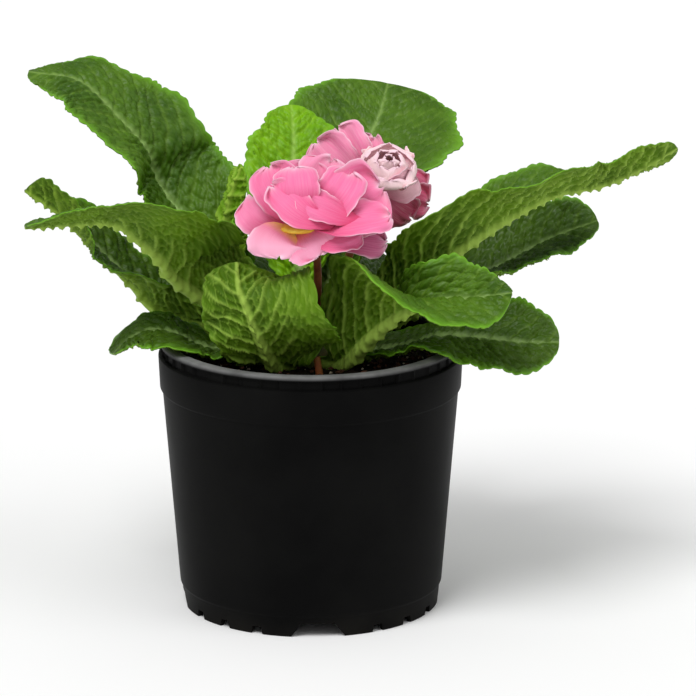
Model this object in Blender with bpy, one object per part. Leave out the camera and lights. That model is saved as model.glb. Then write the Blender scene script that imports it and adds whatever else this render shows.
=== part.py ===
"""A flowering primrose in a black nursery pot. Lengths are in millimetres until a mesh is made in metres."""
import math

import bmesh
import bpy
import numpy as np

MM = 0.001
GAP = 0.3
CROWN_GAP = 0.45

# Pot outline from the foot up the outside, over the lip and down the inside, as (radius, height).
POT_OUTSIDE = [(44.2, 0.0), (44.8, 7.0), (45.4, 7.8), (51.1, 76.6), (51.9, 77.3), (52.5, 88.7)]
POT_LEDGE_OUT = (51.5, 89.2)
POT_LEDGE_TOP = (51.5, 92.2)
POT_LIP = [(51.8, 92.5), (51.8, 93.5), (51.3, 94.0), (47.9, 94.0), (47.4, 93.4)]
POT_INSIDE = [(47.3, 88.0), (44.0, 8.0), (42.8, 6.2)]
POT_FLOOR_TOP = 6.0
POT_FLOOR_MIDDLE = 30.0
POT_FLOOR_UNDER = 4.6
FOOT_INSIDE = 42.4
POT_SIDES = 64
LEDGE_BLOCK = 4
LEDGE_BLOCK_STEP = 0.35

# Notches in the foot, turned a little from the front.
NOTCH_TURN = 3.6
WIDE_NOTCH_FOOT = 20.0
WIDE_NOTCH_TOP = 11.5
WIDE_NOTCH_TALL = 4.2
SMALL_NOTCH_TURNS = [-28.0, 28.0, 45.0]
SMALL_NOTCH_WIDE = 4.8
SMALL_NOTCH_TALL = 2.6
NOTCH_REACH_IN = 38.0
NOTCH_REACH_OUT = 60.0
DRAIN_RADIUS = 4.0
DRAIN_RING = 32.0
DRAIN_SIDES = 16

SOIL_TOP = 86.0
SOIL_SIDES = 48
SOIL_RINGS = [14.0, 20.0, 27.0, 34.0, 41.0]
SOIL_BUMP = 0.7

# Crown outline as (radius, height) from its root tip to its top.
CROWN = [(2.0, 60.0), (6.0, 68.0), (9.0, 78.0), (10.5, 84.0), (10.8, 88.0), (9.4, 91.5), (6.6, 94.2),
         (3.0, 95.4)]
CROWN_SIDES = 32

LEAF_THICK = 0.9
LEAF_ROWS = 15
LEAF_COLUMNS = 3
PETAL_THICK = 0.7
PETAL_ROWS = 6
PETAL_COLUMNS = 2


def leaf(spine, aim, roll, fold_left, fold_right, left, right,
         widest=0.62, taper=0.9, stalk=0.13, blunt=2.3, wave=0.0):
    """One leaf. Its rib runs through the spine points and `aim` is its plan direction in degrees.
    Roll lifts the left half, folds lift each half towards the upper face, and left and right are half widths."""
    return {"spine": spine, "aim": aim, "roll": roll, "fold_left": fold_left, "fold_right": fold_right,
            "left": left, "right": right, "widest": widest, "taper": taper, "stalk": stalk, "blunt": blunt,
            "wave": wave}


LEAVES = {
    "leaf_01": leaf([(-6, 3, 90.5), (-49, 30, 135), (-57, 30, 153), (-66, 30, 164), (-80, 33, 177),
                     (-98, 34, 180)],
                    160, [-58, -40, -25, -22], [13, 36, -15], [20, 17, -25], 20, 25, 0.50, 1.45, wave=0.5),
    "leaf_02": leaf([(-7, -4, 90), (-43, -5, 113), (-51, -10, 124), (-58, -14, 132), (-67, -17, 139),
                     (-82, -22, 140), (-96, -28, 140)],
                    195, [25, 70, 14, 7], [15, 20, 14], [20, 60, 8, 16], 29, 10, 0.52, 0.50, wave=1.0),
    "leaf_03": leaf([(-9, 3, 87), (-49, 13, 98), (-62, 14, 110), (-76, 15, 124), (-87, 11, 136),
                     (-98, 9, 144)],
                    175, [5, 5, 10, 0, 20], [50, 70, 66, 5, 20, 70], [40, 60, 58, 34, 20, 0], 15, 14, 0.55, 1.05,
                    blunt=3.4, wave=2.0),
    "leaf_04": leaf([(-9, -5, 87), (-36, -9, 93), (-46, -13, 99), (-55, -13, 100), (-62, -14, 97),
                     (-67, -18, 93)],
                    195, [0, -2, -12, 8], [5, 2, -2], [6, 4, -4], 15, 14, 0.62, 0.95, wave=2.0),
    "leaf_05": leaf([(-6, -10, 88), (-12, -17, 89), (-17, -27, 101), (-21, -31, 112), (-24, -30, 119),
                     (-25, -25, 127)],
                    255, [-12, 15, -8, 12], [22, -10, 40], [30, -20, -5], 28, 15, 0.50, 0.50,
                    stalk=0.3, blunt=4.0, wave=3.0),
    "leaf_06": leaf([(5, -8, 87), (12, -13, 88), (21, -20, 99), (31, -26, 109), (44, -32, 116), (56, -37, 118),
                     (68, -40, 120)],
                    335, [-48, -72, 0, 17], [86, 84, 19], [-5, 18, -14], 15, 30, 0.50, 0.50, wave=0.3),
    "leaf_07": leaf([(6, 0, 88), (31, 1, 110), (50, -10, 127), (67, -7, 138), (83, -5, 146), (100, -2, 149),
                     (113, -3, 155), (125, -3, 162)],
                    357, [-52, -53, -28, -44], [26, 58, 9], [46, 3, 5], 23, 23, 0.49, 1.0, blunt=1.6, wave=1.3),
    "leaf_08": leaf([(8, 4, 87), (52, 20, 107), (64, 25, 112), (83, 28, 122), (100, 30, 128)],
                    20, [25, 4, 17, 42], [5, 6, 15], [5, 26, 14], 19, 15, 0.64, 0.9, wave=0.9),
    "leaf_09": leaf([(9, -4, 88), (31, -8, 93), (44, -13, 98), (58, -15, 98), (72, -17, 97), (85, -18, 97)],
                    346, [17, 10, 29, 46], [4, 0, 3], [10, 10, 0], 19, 17, 0.62, 0.6, wave=2.5),
    "leaf_10": leaf([(-2, 6, 91), (-5, 18, 132), (-6, 24, 146), (-6, 32, 158), (-7, 40, 167)],
                    95, [0, 0, 0, 6], [5, 7, 1], [5, 7, 0], 17, 17, 0.64, 0.9, wave=1.5),
    "leaf_11": leaf([(4, 7, 89), (12, 25, 131), (17, 36, 147), (21, 47, 155), (24, 56, 160), (27, 70, 168)],
                    70, [2, -20, 9, 12], [5, 10, 7], [5, 17, 0], 33, 33, 0.67, 0.9, wave=0.1),
    "leaf_12": leaf([(-6, -2, 91), (-24, 3, 110), (-28, 7, 127), (-27, 5, 141), (-23, 1, 154)],
                    205, [0, 1, 7, 0], [5, 12, 11], [5, 10, 11], 8, 10, 0.62, 2.5, wave=0.4),
    "leaf_13": leaf([(6, 9, 87), (15, 28, 96), (25, 49, 103), (33, 66, 103), (38, 79, 98)],
                    63, [0, 0, 0, 0], [12, 12, 8], [12, 12, 8], 16, 15, 0.62, 0.8, wave=0.7),
    "leaf_14": leaf([(-1, 10, 87), (-5, 29, 97), (-11, 50, 106), (-16, 69, 107), (-20, 85, 102)],
                    102, [0, 0, 0, 0], [12, 12, 8], [12, 12, 8], 16, 17, 0.62, 0.8, wave=1.9),
    "leaf_15": leaf([(-8, 7, 87), (-22, 20, 95), (-36, 34, 100), (-47, 45, 99), (-56, 54, 94)],
                    140, [0, 0, 0, 0], [12, 12, 8], [12, 12, 8], 16, 14, 0.62, 0.8, wave=2.9),
}
WAVE_TALL = 1.0
WAVE_COUNT = 3.5
RIGHT_WAVE_SHIFT = 2.1


def petal(spine, half, face, cup, ruffle):
    """One petal. Its middle line runs through the spine points and it faces along `face`; cup is in degrees."""
    return {"spine": spine, "half": half, "face": face, "cup": cup, "ruffle": ruffle}


FRONT_PETALS = [
    petal([(-3.0, -30.0, 139.0), (-8.0, -36.0, 136.5), (-13.0, -37.0, 132.0)], 12.5, (0, -1, 0.35), -20, 0.7),
    petal([(-2.0, -30.0, 138.0), (1.0, -35.5, 134.5), (3.0, -36.0, 129.5)], 7.5, (0.1, -1, 0.3), -15, 0.7),
    petal([(-1.0, -31.0, 138.5), (8.5, -35.5, 137.0), (18.0, -34.0, 140.0)], 5.0, (0.1, -0.8, 0.6), 15, 0.9),
    petal([(-0.5, -28.0, 138.5), (12.0, -29.0, 137.0), (27.0, -27.0, 133.0)], 7.5, (0.2, -0.8, 0.9), -25, 1.4),
    petal([(-4.5, -27.0, 139.0), (-15.5, -28.0, 145.0), (-22.5, -24.0, 150.0)], 11.0, (-0.2, -1, 0.3), 20, 1.2),
    petal([(8.5, -35.5, 142.0), (-2.5, -38.5, 147.5), (-13.5, -35.5, 157.0)], 6.5, (0.3, -1, 0.4), 25, 1.2),
    petal([(-2.5, -32.0, 143.0), (-4.0, -36.5, 154.0), (-5.0, -34.0, 162.5)], 8.0, (0, -1, 0.1), -35, 0.5),
    petal([(-1.0, -26.0, 140.0), (4.0, -28.0, 153.5), (8.0, -22.0, 163.0)], 10.0, (0, -1, 0.2), 22, 1.3),
    petal([(0.0, -29.0, 140.0), (13.5, -31.0, 148.5), (25.0, -27.0, 154.0)], 13.0, (0.1, -1, 0.2), 18, 1.3),
    petal([(1.0, -31.0, 139.5), (13.5, -37.0, 143.5), (27.5, -34.0, 145.5)], 7.5, (0.1, -0.6, 1), 35, 1.8),
    petal([(18.5, -35.5, 143.5), (6.5, -37.0, 148.0), (-5.0, -34.5, 153.0)], 5.5, (0.3, -1, 0.5), 20, 1.2),
    petal([(-3.0, -28.0, 139.5), (-10.0, -30.0, 152.0), (-14.0, -25.0, 161.0)], 8.5, (-0.1, -1, 0.2), 25, 1.0),
    petal([(-0.5, -30.0, 140.0), (9.0, -33.0, 152.0), (14.5, -29.0, 160.0)], 8.0, (-0.3, -1, 0.2), 35, 1.2),
    petal([(-2.0, -27.0, 140.0), (-2.0, -30.0, 153.5), (-1.0, -24.0, 162.5)], 9.0, (0.1, -1, 0.2), -15, 0.9),
]

BACK_PETALS = [
    petal([(21.0, -5.0, 147.5), (10.0, -4.0, 156.0), (1.5, 0.0, 163.5)], 8.5, (0, -1, 0.2), 20, 1.0),
    petal([(22.0, -4.0, 148.0), (14.5, -2.0, 159.0), (9.0, 4.0, 167.5)], 8.0, (0, -1, 0.1), 22, 1.0),
    petal([(23.0, -3.0, 147.5), (20.5, 2.0, 159.5), (22.0, 5.0, 164.5)], 6.0, (0, -1, 0.1), 22, 1.0),
    petal([(24.0, -8.0, 147.0), (22.0, -16.0, 156.0), (20.5, -13.0, 163.0)], 11.0, (-0.1, -1, 0.1), 45, 0.5),
    petal([(25.0, -7.0, 147.0), (31.5, -12.0, 154.0), (33.0, -8.0, 160.5)], 9.0, (0.3, -1, 0.1), 45, 0.5),
    petal([(24.0, -4.0, 147.0), (26.5, -6.0, 158.0), (26.0, -2.0, 164.0)], 9.5, (0, -1, 0.1), 30, 0.6),
    petal([(23.5, -6.0, 147.5), (26.0, -9.0, 156.0), (27.0, -7.0, 159.5)], 5.5, (0, -1, 0.1), 50, 0.4),
    petal([(23.5, -9.0, 147.0), (30.0, -13.0, 149.5), (35.5, -10.0, 154.0)], 6.5, (0.3, -1, -0.3), 40, 0.5),
    petal([(24.0, -4.0, 146.5), (32.5, -5.0, 145.0), (41.0, -2.0, 141.5)], 6.5, (0.2, -1, 0.3), -15, 1.3),
    petal([(24.0, -5.0, 146.0), (29.0, -7.0, 142.0), (35.0, -5.0, 137.0)], 7.0, (0.2, -1, -0.3), -15, 1.2),
    petal([(24.0, -2.0, 146.5), (32.5, -1.0, 148.5), (40.0, 2.0, 145.5)], 6.0, (0.2, -1, 0.3), 10, 1.2),
]

FRONT_HEART = (-2.5, -26.5, 141.0)
FRONT_HEART_RADIUS = 4.6
FRONT_EYE = (-4.0, -32.0, 140.3)
FRONT_EYE_SIZE = (5.6, 3.2, 2.6)
FRONT_STALK = [(0.5, -3.0, 92.0), (2.5, -9.0, 112.0), (2.0, -17.0, 130.0), (-0.5, -22.0, 137.0),
               (-2.0, -24.5, 140.0)]
FRONT_STALK_RADII = [1.5, 1.4, 1.5, 3.6, 3.0]
BACK_HEART = (24.5, -5.0, 150.0)
BACK_HEART_RADIUS = 4.4
BACK_STALK = [(3.0, -1.0, 92.0), (11.0, -7.0, 118.0), (16.0, -7.0, 132.0), (22.0, -5.5, 142.5),
              (24.0, -5.0, 148.0)]
BACK_STALK_RADII = [1.5, 1.5, 1.5, 3.4, 3.0]
BUD_LINE = [(-0.5, -7.5, 90.5), (-2.2, -13.5, 91.5), (-2.8, -17.5, 94.0), (-1.6, -18.5, 100.0),
            (0.2, -18.0, 105.0), (1.2, -17.5, 109.0)]
BUD_RADII = [1.1, 1.1, 1.6, 3.0, 2.0, 0.6]
STUB_LINE = [(3.6, -20.2, 79.0), (3.2, -20.2, 86.0), (2.2, -20.0, 92.5)]
STUB_RADII = [1.2, 1.3, 1.1]
TUBE_SIDES = 8
TUBE_STEPS = 4

COLOURS = {
    "pot_black": (0.012, 0.012, 0.012, 1.0),
    "soil_brown": (0.030, 0.019, 0.012, 1.0),
    "crown_green": (0.16, 0.17, 0.05, 1.0),
    "leaf_green": (0.07, 0.18, 0.02, 1.0),
    "young_leaf_green": (0.16, 0.40, 0.03, 1.0),
    "petal_pink": (0.85, 0.22, 0.42, 1.0),
    "petal_pale": (0.85, 0.42, 0.48, 1.0),
    "eye_yellow": (0.85, 0.42, 0.02, 1.0),
    "stalk_red": (0.14, 0.03, 0.015, 1.0),
    "bud_brown": (0.12, 0.035, 0.015, 1.0),
}
YOUNG_LEAVES = ["leaf_10", "leaf_12"]


def clear_scene():
    for thing in list(bpy.data.objects):
        bpy.data.objects.remove(thing, do_unlink=True)


def material(name, roughness):
    made = bpy.data.materials.get(name)
    if made is None:
        made = bpy.data.materials.new(name)
        made.use_nodes = True
        shader = made.node_tree.nodes["Principled BSDF"]
        shader.inputs["Base Color"].default_value = COLOURS[name]
        shader.inputs["Roughness"].default_value = roughness
        made.diffuse_color = COLOURS[name]
    return made


def add_object(name, points, faces, colour=None, roughness=0.6):
    """A mesh object from points in millimetres, with its faces turned outward."""
    mesh = bpy.data.meshes.new(name)
    mesh.from_pydata([tuple(MM * float(value) for value in point) for point in points], [], faces)
    shape = bmesh.new()
    shape.from_mesh(mesh)
    bmesh.ops.recalc_face_normals(shape, faces=shape.faces)
    shape.to_mesh(mesh)
    shape.free()
    made = bpy.data.objects.new(name, mesh)
    bpy.context.scene.collection.objects.link(made)
    if colour:
        mesh.materials.append(material(colour, roughness))
    return made


def lathe(rows, sides):
    """Points and faces of a closed turned body; each row is (radius, height) or a list of such, one a side."""
    points = []
    for row in rows:
        for side in range(sides):
            angle = 2.0 * math.pi * side / sides
            radius, height = row[side] if isinstance(row, list) else row
            points.append((radius * math.cos(angle), radius * math.sin(angle), height))
    faces = []
    for index in range(len(rows) - 1):
        for side in range(sides):
            after = (side + 1) % sides
            low, high = index * sides, (index + 1) * sides
            faces.append((low + side, low + after, high + after, high + side))
    faces.append(tuple(range(sides)))
    faces.append(tuple((len(rows) - 1) * sides + side for side in range(sides)))
    return points, faces


def smooth_line(values, places):
    """Values at places from 0 to 1 on a smooth line through evenly spaced values."""
    known = np.asarray(values, float)
    flat = known.ndim == 1
    if flat:
        known = known[:, None]
    known = np.concatenate([[2 * known[0] - known[1]], known, [2 * known[-1] - known[-2]]])
    spans = len(known) - 3
    place = np.clip(places, 0, 1) * spans
    first = np.minimum(place.astype(int), spans - 1)
    part = (place - first)[:, None]
    a, b, c, d = known[first], known[first + 1], known[first + 2], known[first + 3]
    square = 2 * a - 5 * b + 4 * c - d
    cube = 3 * b - a - 3 * c + d
    line = 0.5 * (2 * b + (c - a) * part + square * part ** 2 + cube * part ** 3)
    return line[:, 0] if flat else line


def even_spine(points, steps=200):
    """Evenly spaced places along a smooth line through the points, with the direction at each."""
    raw = smooth_line(points, np.linspace(0, 1, 2 * steps))
    run = np.concatenate([[0], np.cumsum(np.linalg.norm(np.diff(raw, axis=0), axis=1))])
    places = np.linspace(0, 1, steps + 1)
    line = np.stack([np.interp(places * run[-1], run, raw[:, axis]) for axis in range(3)], -1)
    ahead = np.gradient(line, axis=0)
    ahead /= np.linalg.norm(ahead, axis=1)[:, None]
    return places, line, ahead


def at_rows(rows, places, values):
    return np.stack([np.interp(rows, places, values[:, axis]) for axis in range(3)], -1)


def leaf_width(shape, rows):
    """Share of the full half width at each row: a narrow winged stalk, a broad blade and a round tip."""
    widest = shape["widest"]
    rise = np.clip((rows - 0.02) / (widest - 0.02), 0, 1)
    rise = (rise * rise * (3 - 2 * rise)) ** shape["taper"]
    rise = shape["stalk"] + (1 - shape["stalk"]) * rise
    fall = np.clip((rows - widest) / (1 - widest), 0, 1)
    fall = (1 - fall ** shape["blunt"]) ** 0.5
    return np.where(rows < widest, rise, fall)


def leaf_sheet(shape, rows, columns):
    """Middle surface of a leaf as a grid of points; columns run from -1 (right edge) to 1 (left edge)."""
    places, line, ahead = even_spine(shape["spine"])
    turn = math.radians(shape["aim"] + 90.0)
    across = np.array([math.cos(turn), math.sin(turn), 0.0])
    side = across - (ahead @ across)[:, None] * ahead
    side /= np.linalg.norm(side, axis=1)[:, None]
    upper = np.cross(ahead, side)
    roll = np.radians(smooth_line(shape["roll"], places))[:, None]
    rolled = np.cos(roll) * side + np.sin(roll) * upper
    facing = np.cos(roll) * upper - np.sin(roll) * side
    line, rolled, facing = (at_rows(rows, places, values) for values in (line, rolled, facing))
    width = leaf_width(shape, rows)
    swell = np.sin(np.pi * rows) ** 0.5
    grid = np.zeros((len(rows), len(columns), 3))
    for index, column in enumerate(columns):
        out = abs(column)
        which = "left" if column >= 0 else "right"
        sign = 1.0 if column >= 0 else -1.0
        fold = np.radians(smooth_line(shape["fold_" + which], rows))
        curl = np.maximum(np.radians(smooth_line([5.0, 5.0, 0.0], rows)), 0.001)
        slope = fold + curl * out
        reach = (np.sin(slope) - np.sin(fold)) / curl * width * shape[which]
        lift = (np.cos(fold) - np.cos(slope)) / curl * width * shape[which]
        phase = shape["wave"] + (0.0 if column >= 0 else RIGHT_WAVE_SHIFT)
        wave = WAVE_TALL * out ** 1.6 * swell * np.sin(2 * np.pi * WAVE_COUNT * rows + phase)
        reach = reach - wave * np.sin(slope)
        lift = lift + wave * np.cos(slope)
        grid[:, index] = line + rolled * (sign * reach)[:, None] + facing * lift[:, None]
    return grid


def petal_sheet(shape, rows, columns):
    """Middle surface of a petal as a grid of points: a narrow claw that spreads to a broad ruffled end."""
    places, line, ahead = even_spine(shape["spine"])
    face = np.array(shape["face"], float)
    facing = face - (ahead @ face)[:, None] * ahead
    facing /= np.linalg.norm(facing, axis=1)[:, None]
    side = np.cross(facing, ahead)
    line, side, facing = (at_rows(rows, places, values) for values in (line, side, facing))
    rise = np.clip((rows - 0.05) / 0.6, 0, 1)
    rise = 0.22 + 0.78 * (rise * rise * (3 - 2 * rise)) ** 0.7
    fall = (1 - np.clip((rows - 0.66) / 0.34, 0, 1) ** 3.0) ** 0.5
    width = shape["half"] * np.where(rows < 0.66, rise, fall)
    cup = np.radians(shape["cup"]) * 2.0 * rows
    cup = np.where(np.abs(cup) < 0.001, 0.001, cup)
    grid = np.zeros((len(rows), len(columns), 3))
    for index, column in enumerate(columns):
        out = abs(column)
        reach = np.sign(column) * np.sin(cup * out) / cup * width
        lift = (1 - np.cos(cup * out)) / cup * width
        ruffle = rows ** 1.5 * out ** 1.3 * np.sin(2 * np.pi * (1.1 * rows + 1.3 * column) + shape["half"])
        lift = lift + shape["ruffle"] * ruffle
        grid[:, index] = line + side * reach[:, None] + facing * lift[:, None]
    return grid


def sheet_normals(grid):
    normal = np.cross(np.gradient(grid, axis=0), np.gradient(grid, axis=1))
    return normal / np.linalg.norm(normal, axis=2)[..., None]


def thick_sheet(grid, thickness):
    """A closed body around a grid of points; thickness is one number or one a grid point."""
    normal = sheet_normals(grid)
    half = np.broadcast_to(np.asarray(thickness, float), grid.shape[:2])[..., None] / 2.0
    rows, columns = grid.shape[:2]
    points = np.concatenate([(grid + normal * half).reshape(-1, 3), (grid - normal * half).reshape(-1, 3)])

    def place(row, column, face):
        return face * rows * columns + row * columns + column

    faces = []
    for row in range(rows - 1):
        for column in range(columns - 1):
            for face in (0, 1):
                a, b = place(row, column, face), place(row + 1, column, face)
                c, d = place(row + 1, column + 1, face), place(row, column + 1, face)
                faces.append((a, b, c))
                faces.append((a, c, d))
    rim = [(row, 0) for row in range(rows)]
    rim += [(rows - 1, column) for column in range(1, columns)]
    rim += [(row, columns - 1) for row in range(rows - 2, -1, -1)]
    rim += [(0, column) for column in range(columns - 2, 0, -1)]
    for first, second in zip(rim, rim[1:] + rim[:1]):
        a, b = place(*first, 0), place(*second, 0)
        c, d = place(*second, 1), place(*first, 1)
        faces.append((a, b, c))
        faces.append((a, c, d))
    return points, faces


def tube(line, radii, sides=TUBE_SIDES, steps=TUBE_STEPS, extra=0.0):
    """A closed round bar along a smooth line, with a radius at each of its points."""
    count = steps * (len(line) - 1) + 1
    places = np.linspace(0, 1, count)
    middle = smooth_line(line, places)
    thick = np.maximum(smooth_line(radii, places), 0.5) + extra
    ahead = np.gradient(middle, axis=0)
    ahead /= np.linalg.norm(ahead, axis=1)[:, None]
    if extra:
        middle[0] -= ahead[0] * extra
        middle[-1] += ahead[-1] * extra
    across = np.cross(ahead, [0.0, 1.0, 0.0])
    across /= np.linalg.norm(across, axis=1)[:, None]
    other = np.cross(ahead, across)
    points = []
    for index in range(count):
        for side in range(sides):
            angle = 2.0 * math.pi * side / sides
            spoke = math.cos(angle) * across[index] + math.sin(angle) * other[index]
            points.append(middle[index] + spoke * thick[index])
    faces = []
    for index in range(count - 1):
        for side in range(sides):
            after = (side + 1) % sides
            low, high = index * sides, (index + 1) * sides
            faces.append((low + side, low + after, high + after, high + side))
    faces.append(tuple(range(sides)))
    faces.append(tuple((count - 1) * sides + side for side in range(sides)))
    return points, faces


def ball(centre, sizes, segments=16, rings=10):
    points = [(centre[0], centre[1], centre[2] - sizes[2])]
    for ring in range(1, rings):
        polar = math.pi * ring / rings
        for segment in range(segments):
            angle = 2.0 * math.pi * segment / segments
            points.append((centre[0] + sizes[0] * math.sin(polar) * math.cos(angle),
                           centre[1] + sizes[1] * math.sin(polar) * math.sin(angle),
                           centre[2] - sizes[2] * math.cos(polar)))
    points.append((centre[0], centre[1], centre[2] + sizes[2]))
    faces = []
    for segment in range(segments):
        after = (segment + 1) % segments
        faces.append((0, 1 + after, 1 + segment))
        last = 1 + (rings - 2) * segments
        faces.append((last + segment, last + after, len(points) - 1))
        for ring in range(rings - 2):
            low, high = 1 + ring * segments, 1 + (ring + 1) * segments
            faces.append((low + segment, low + after, high + after, high + segment))
    return points, faces


def combine(target, others, operation, solver="EXACT"):
    """Apply one Boolean of the target with all the others, then remove the others."""
    group = bpy.data.collections.new(target.name + "_others")
    for other in others:
        group.objects.link(other)
    step = target.modifiers.new("combine", "BOOLEAN")
    step.operation = operation
    step.solver = solver
    step.operand_type = "COLLECTION"
    step.collection = group
    bpy.context.view_layer.update()
    graph = bpy.context.evaluated_depsgraph_get()
    result = bpy.data.meshes.new_from_object(target.evaluated_get(graph))
    target.modifiers.clear()
    target.data = result
    for other in others:
        bpy.data.objects.remove(other, do_unlink=True)
    bpy.data.collections.remove(group)


def keep_largest(target):
    """Drop the crumbs that a cut leaves beside the main body."""
    shape = bmesh.new()
    shape.from_mesh(target.data)
    left = set(shape.verts)
    bodies = []
    while left:
        body = set()
        front = [left.pop()]
        while front:
            vertex = front.pop()
            body.add(vertex)
            for edge in vertex.link_edges:
                other = edge.other_vert(vertex)
                if other in left:
                    left.remove(other)
                    front.append(other)
        bodies.append(body)
    bodies.sort(key=len)
    for body in bodies[:-1]:
        bmesh.ops.delete(shape, geom=list(body), context="VERTS")
    bmesh.ops.triangulate(shape, faces=shape.faces)
    shape.to_mesh(target.data)
    shape.free()


def turned(points, degrees):
    angle = math.radians(degrees)
    return [(x * math.cos(angle) - y * math.sin(angle), x * math.sin(angle) + y * math.cos(angle), z)
            for x, y, z in points]


def notch(degrees, foot, top, tall):
    """A wedge that cuts one notch through the foot skirt at an angle from the front."""
    points = []
    for reach in (NOTCH_REACH_IN, NOTCH_REACH_OUT):
        points += [(-foot / 2, -reach, -1.0), (foot / 2, -reach, -1.0)]
        points += [(top / 2, -reach, tall), (-top / 2, -reach, tall)]
    faces = [(0, 1, 2, 3), (4, 5, 6, 7), (0, 1, 5, 4), (1, 2, 6, 5), (2, 3, 7, 6), (3, 0, 4, 7)]
    return add_object("notch", turned(points, degrees), faces)


def drain(x, y):
    points, faces = lathe([(DRAIN_RADIUS, 2.0), (DRAIN_RADIUS, 9.0)], DRAIN_SIDES)
    return add_object("drain", [(px + x, py + y, pz) for px, py, pz in points], faces)


def build_pot():
    ledge_low, ledge_high = [], []
    for side in range(POT_SIDES):
        step = LEDGE_BLOCK_STEP if (side // LEDGE_BLOCK) % 2 else 0.0
        ledge_low.append((POT_LEDGE_OUT[0] - step, POT_LEDGE_OUT[1]))
        ledge_high.append((POT_LEDGE_TOP[0] - step, POT_LEDGE_TOP[1]))
    rows = POT_OUTSIDE + [ledge_low, ledge_high] + POT_LIP + POT_INSIDE
    rows += [(POT_FLOOR_MIDDLE, POT_FLOOR_TOP)]
    points, faces = lathe(rows, POT_SIDES)
    hollow, hollow_faces = lathe([(FOOT_INSIDE, -1.0), (FOOT_INSIDE, POT_FLOOR_UNDER)], POT_SIDES)
    pot = add_object("pot", points, faces, "pot_black", 0.4)
    cutters = [add_object("foot_hollow", hollow, hollow_faces)]
    for quarter in range(4):
        middle = NOTCH_TURN + 90.0 * quarter
        cutters.append(notch(middle, WIDE_NOTCH_FOOT, WIDE_NOTCH_TOP, WIDE_NOTCH_TALL))
        for turn in SMALL_NOTCH_TURNS:
            cutters.append(notch(middle + turn, SMALL_NOTCH_WIDE, SMALL_NOTCH_WIDE * 0.6, SMALL_NOTCH_TALL))
        angle = math.radians(middle - 90.0)
        cutters.append(drain(DRAIN_RING * math.cos(angle), DRAIN_RING * math.sin(angle)))
    cutters.append(drain(0.0, 0.0))
    combine(pot, cutters, "DIFFERENCE")
    return pot


def crown_rows(extra):
    rows = [(radius + extra, height) for radius, height in CROWN]
    rows[0] = (rows[0][0], rows[0][1] - extra)
    rows[-1] = (rows[-1][0], rows[-1][1] + extra)
    return rows


def crown_body(name, extra, colour=None):
    points, faces = lathe(crown_rows(extra), CROWN_SIDES)
    return add_object(name, points, faces, colour, 0.7)


def soil_height(x, y):
    broad = math.sin(0.31 * x + 0.9) * math.cos(0.27 * y)
    fine = 0.4 * math.sin(0.6 * x - 0.5 * y)
    return SOIL_TOP + SOIL_BUMP * (broad - fine - 0.5)


def build_soil():
    wall = [(radius - GAP, height) for radius, height in reversed(POT_INSIDE)]
    top_radius = wall[-1][0] - 0.1
    rows = [(wall[0][0], POT_FLOOR_TOP + 0.5), wall[1]]
    for radius in [top_radius] + SOIL_RINGS[::-1]:
        ring = []
        for side in range(SOIL_SIDES):
            angle = 2.0 * math.pi * side / SOIL_SIDES
            ring.append((radius, soil_height(radius * math.cos(angle), radius * math.sin(angle))))
        rows.append(ring)
    points, faces = lathe(rows, SOIL_SIDES)
    soil = add_object("soil", points, faces, "soil_brown", 0.95)
    cutters = [crown_body("crown_hole", GAP)]
    stub_points, stub_faces = tube(STUB_LINE, STUB_RADII, extra=GAP)
    cutters.append(add_object("stub_hole", stub_points, stub_faces))
    combine(soil, cutters, "DIFFERENCE")
    return soil


def build_leaf(name, shape):
    rows = 1.0 - (1.0 - np.linspace(0, 1, LEAF_ROWS + 1)) ** 1.25
    rows[-1] = 0.997
    columns = np.linspace(-1, 1, 2 * LEAF_COLUMNS + 1)
    grid = leaf_sheet(shape, rows, columns)
    points, faces = thick_sheet(grid, LEAF_THICK)
    colour = "young_leaf_green" if name in YOUNG_LEAVES else "leaf_green"
    made = add_object(name, points, faces, colour, 0.45)
    combine(made, [crown_body("crown_clearance", CROWN_GAP)], "DIFFERENCE")
    keep_largest(made)
    return made


def petal_body(name, shape, colour=None):
    rows = 1.0 - (1.0 - np.linspace(0, 1, PETAL_ROWS + 1)) ** 1.3
    rows[-1] = 0.995
    columns = np.linspace(-1, 1, 2 * PETAL_COLUMNS + 1)
    points, faces = thick_sheet(petal_sheet(shape, rows, columns), PETAL_THICK)
    return add_object(name, points, faces, colour, 0.5)


def build_bloom(name, petals, heart, heart_radius, colour, cutters):
    points, faces = ball(heart, (heart_radius, heart_radius, heart_radius))
    bloom = add_object(name, points, faces, colour, 0.5)
    sheets = [petal_body("petal", shape, colour) for shape in petals]
    combine(bloom, sheets, "UNION", "MANIFOLD")
    combine(bloom, cutters, "DIFFERENCE", "MANIFOLD")
    keep_largest(bloom)
    return bloom


def tube_object(name, line, radii, colour=None, extra=0.0):
    points, faces = tube(line, radii, extra=extra)
    return add_object(name, points, faces, colour, 0.6)


def build_blooms():
    front_cut = tube_object("front_clearance", FRONT_STALK, FRONT_STALK_RADII, extra=GAP)
    eye_size = tuple(size + GAP for size in FRONT_EYE_SIZE)
    eye_points, eye_faces = ball(FRONT_EYE, eye_size)
    eye_cut = add_object("eye_clearance", eye_points, eye_faces)
    build_bloom("bloom_front_petals", FRONT_PETALS, FRONT_HEART, FRONT_HEART_RADIUS, "petal_pink",
                [front_cut, eye_cut])
    points, faces = ball(FRONT_EYE, FRONT_EYE_SIZE)
    add_object("bloom_front_eye", points, faces, "eye_yellow", 0.6)
    back_cut = tube_object("back_clearance", BACK_STALK, BACK_STALK_RADII, extra=GAP)
    build_bloom("bloom_back_petals", BACK_PETALS, BACK_HEART, BACK_HEART_RADIUS, "petal_pale", [back_cut])


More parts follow.
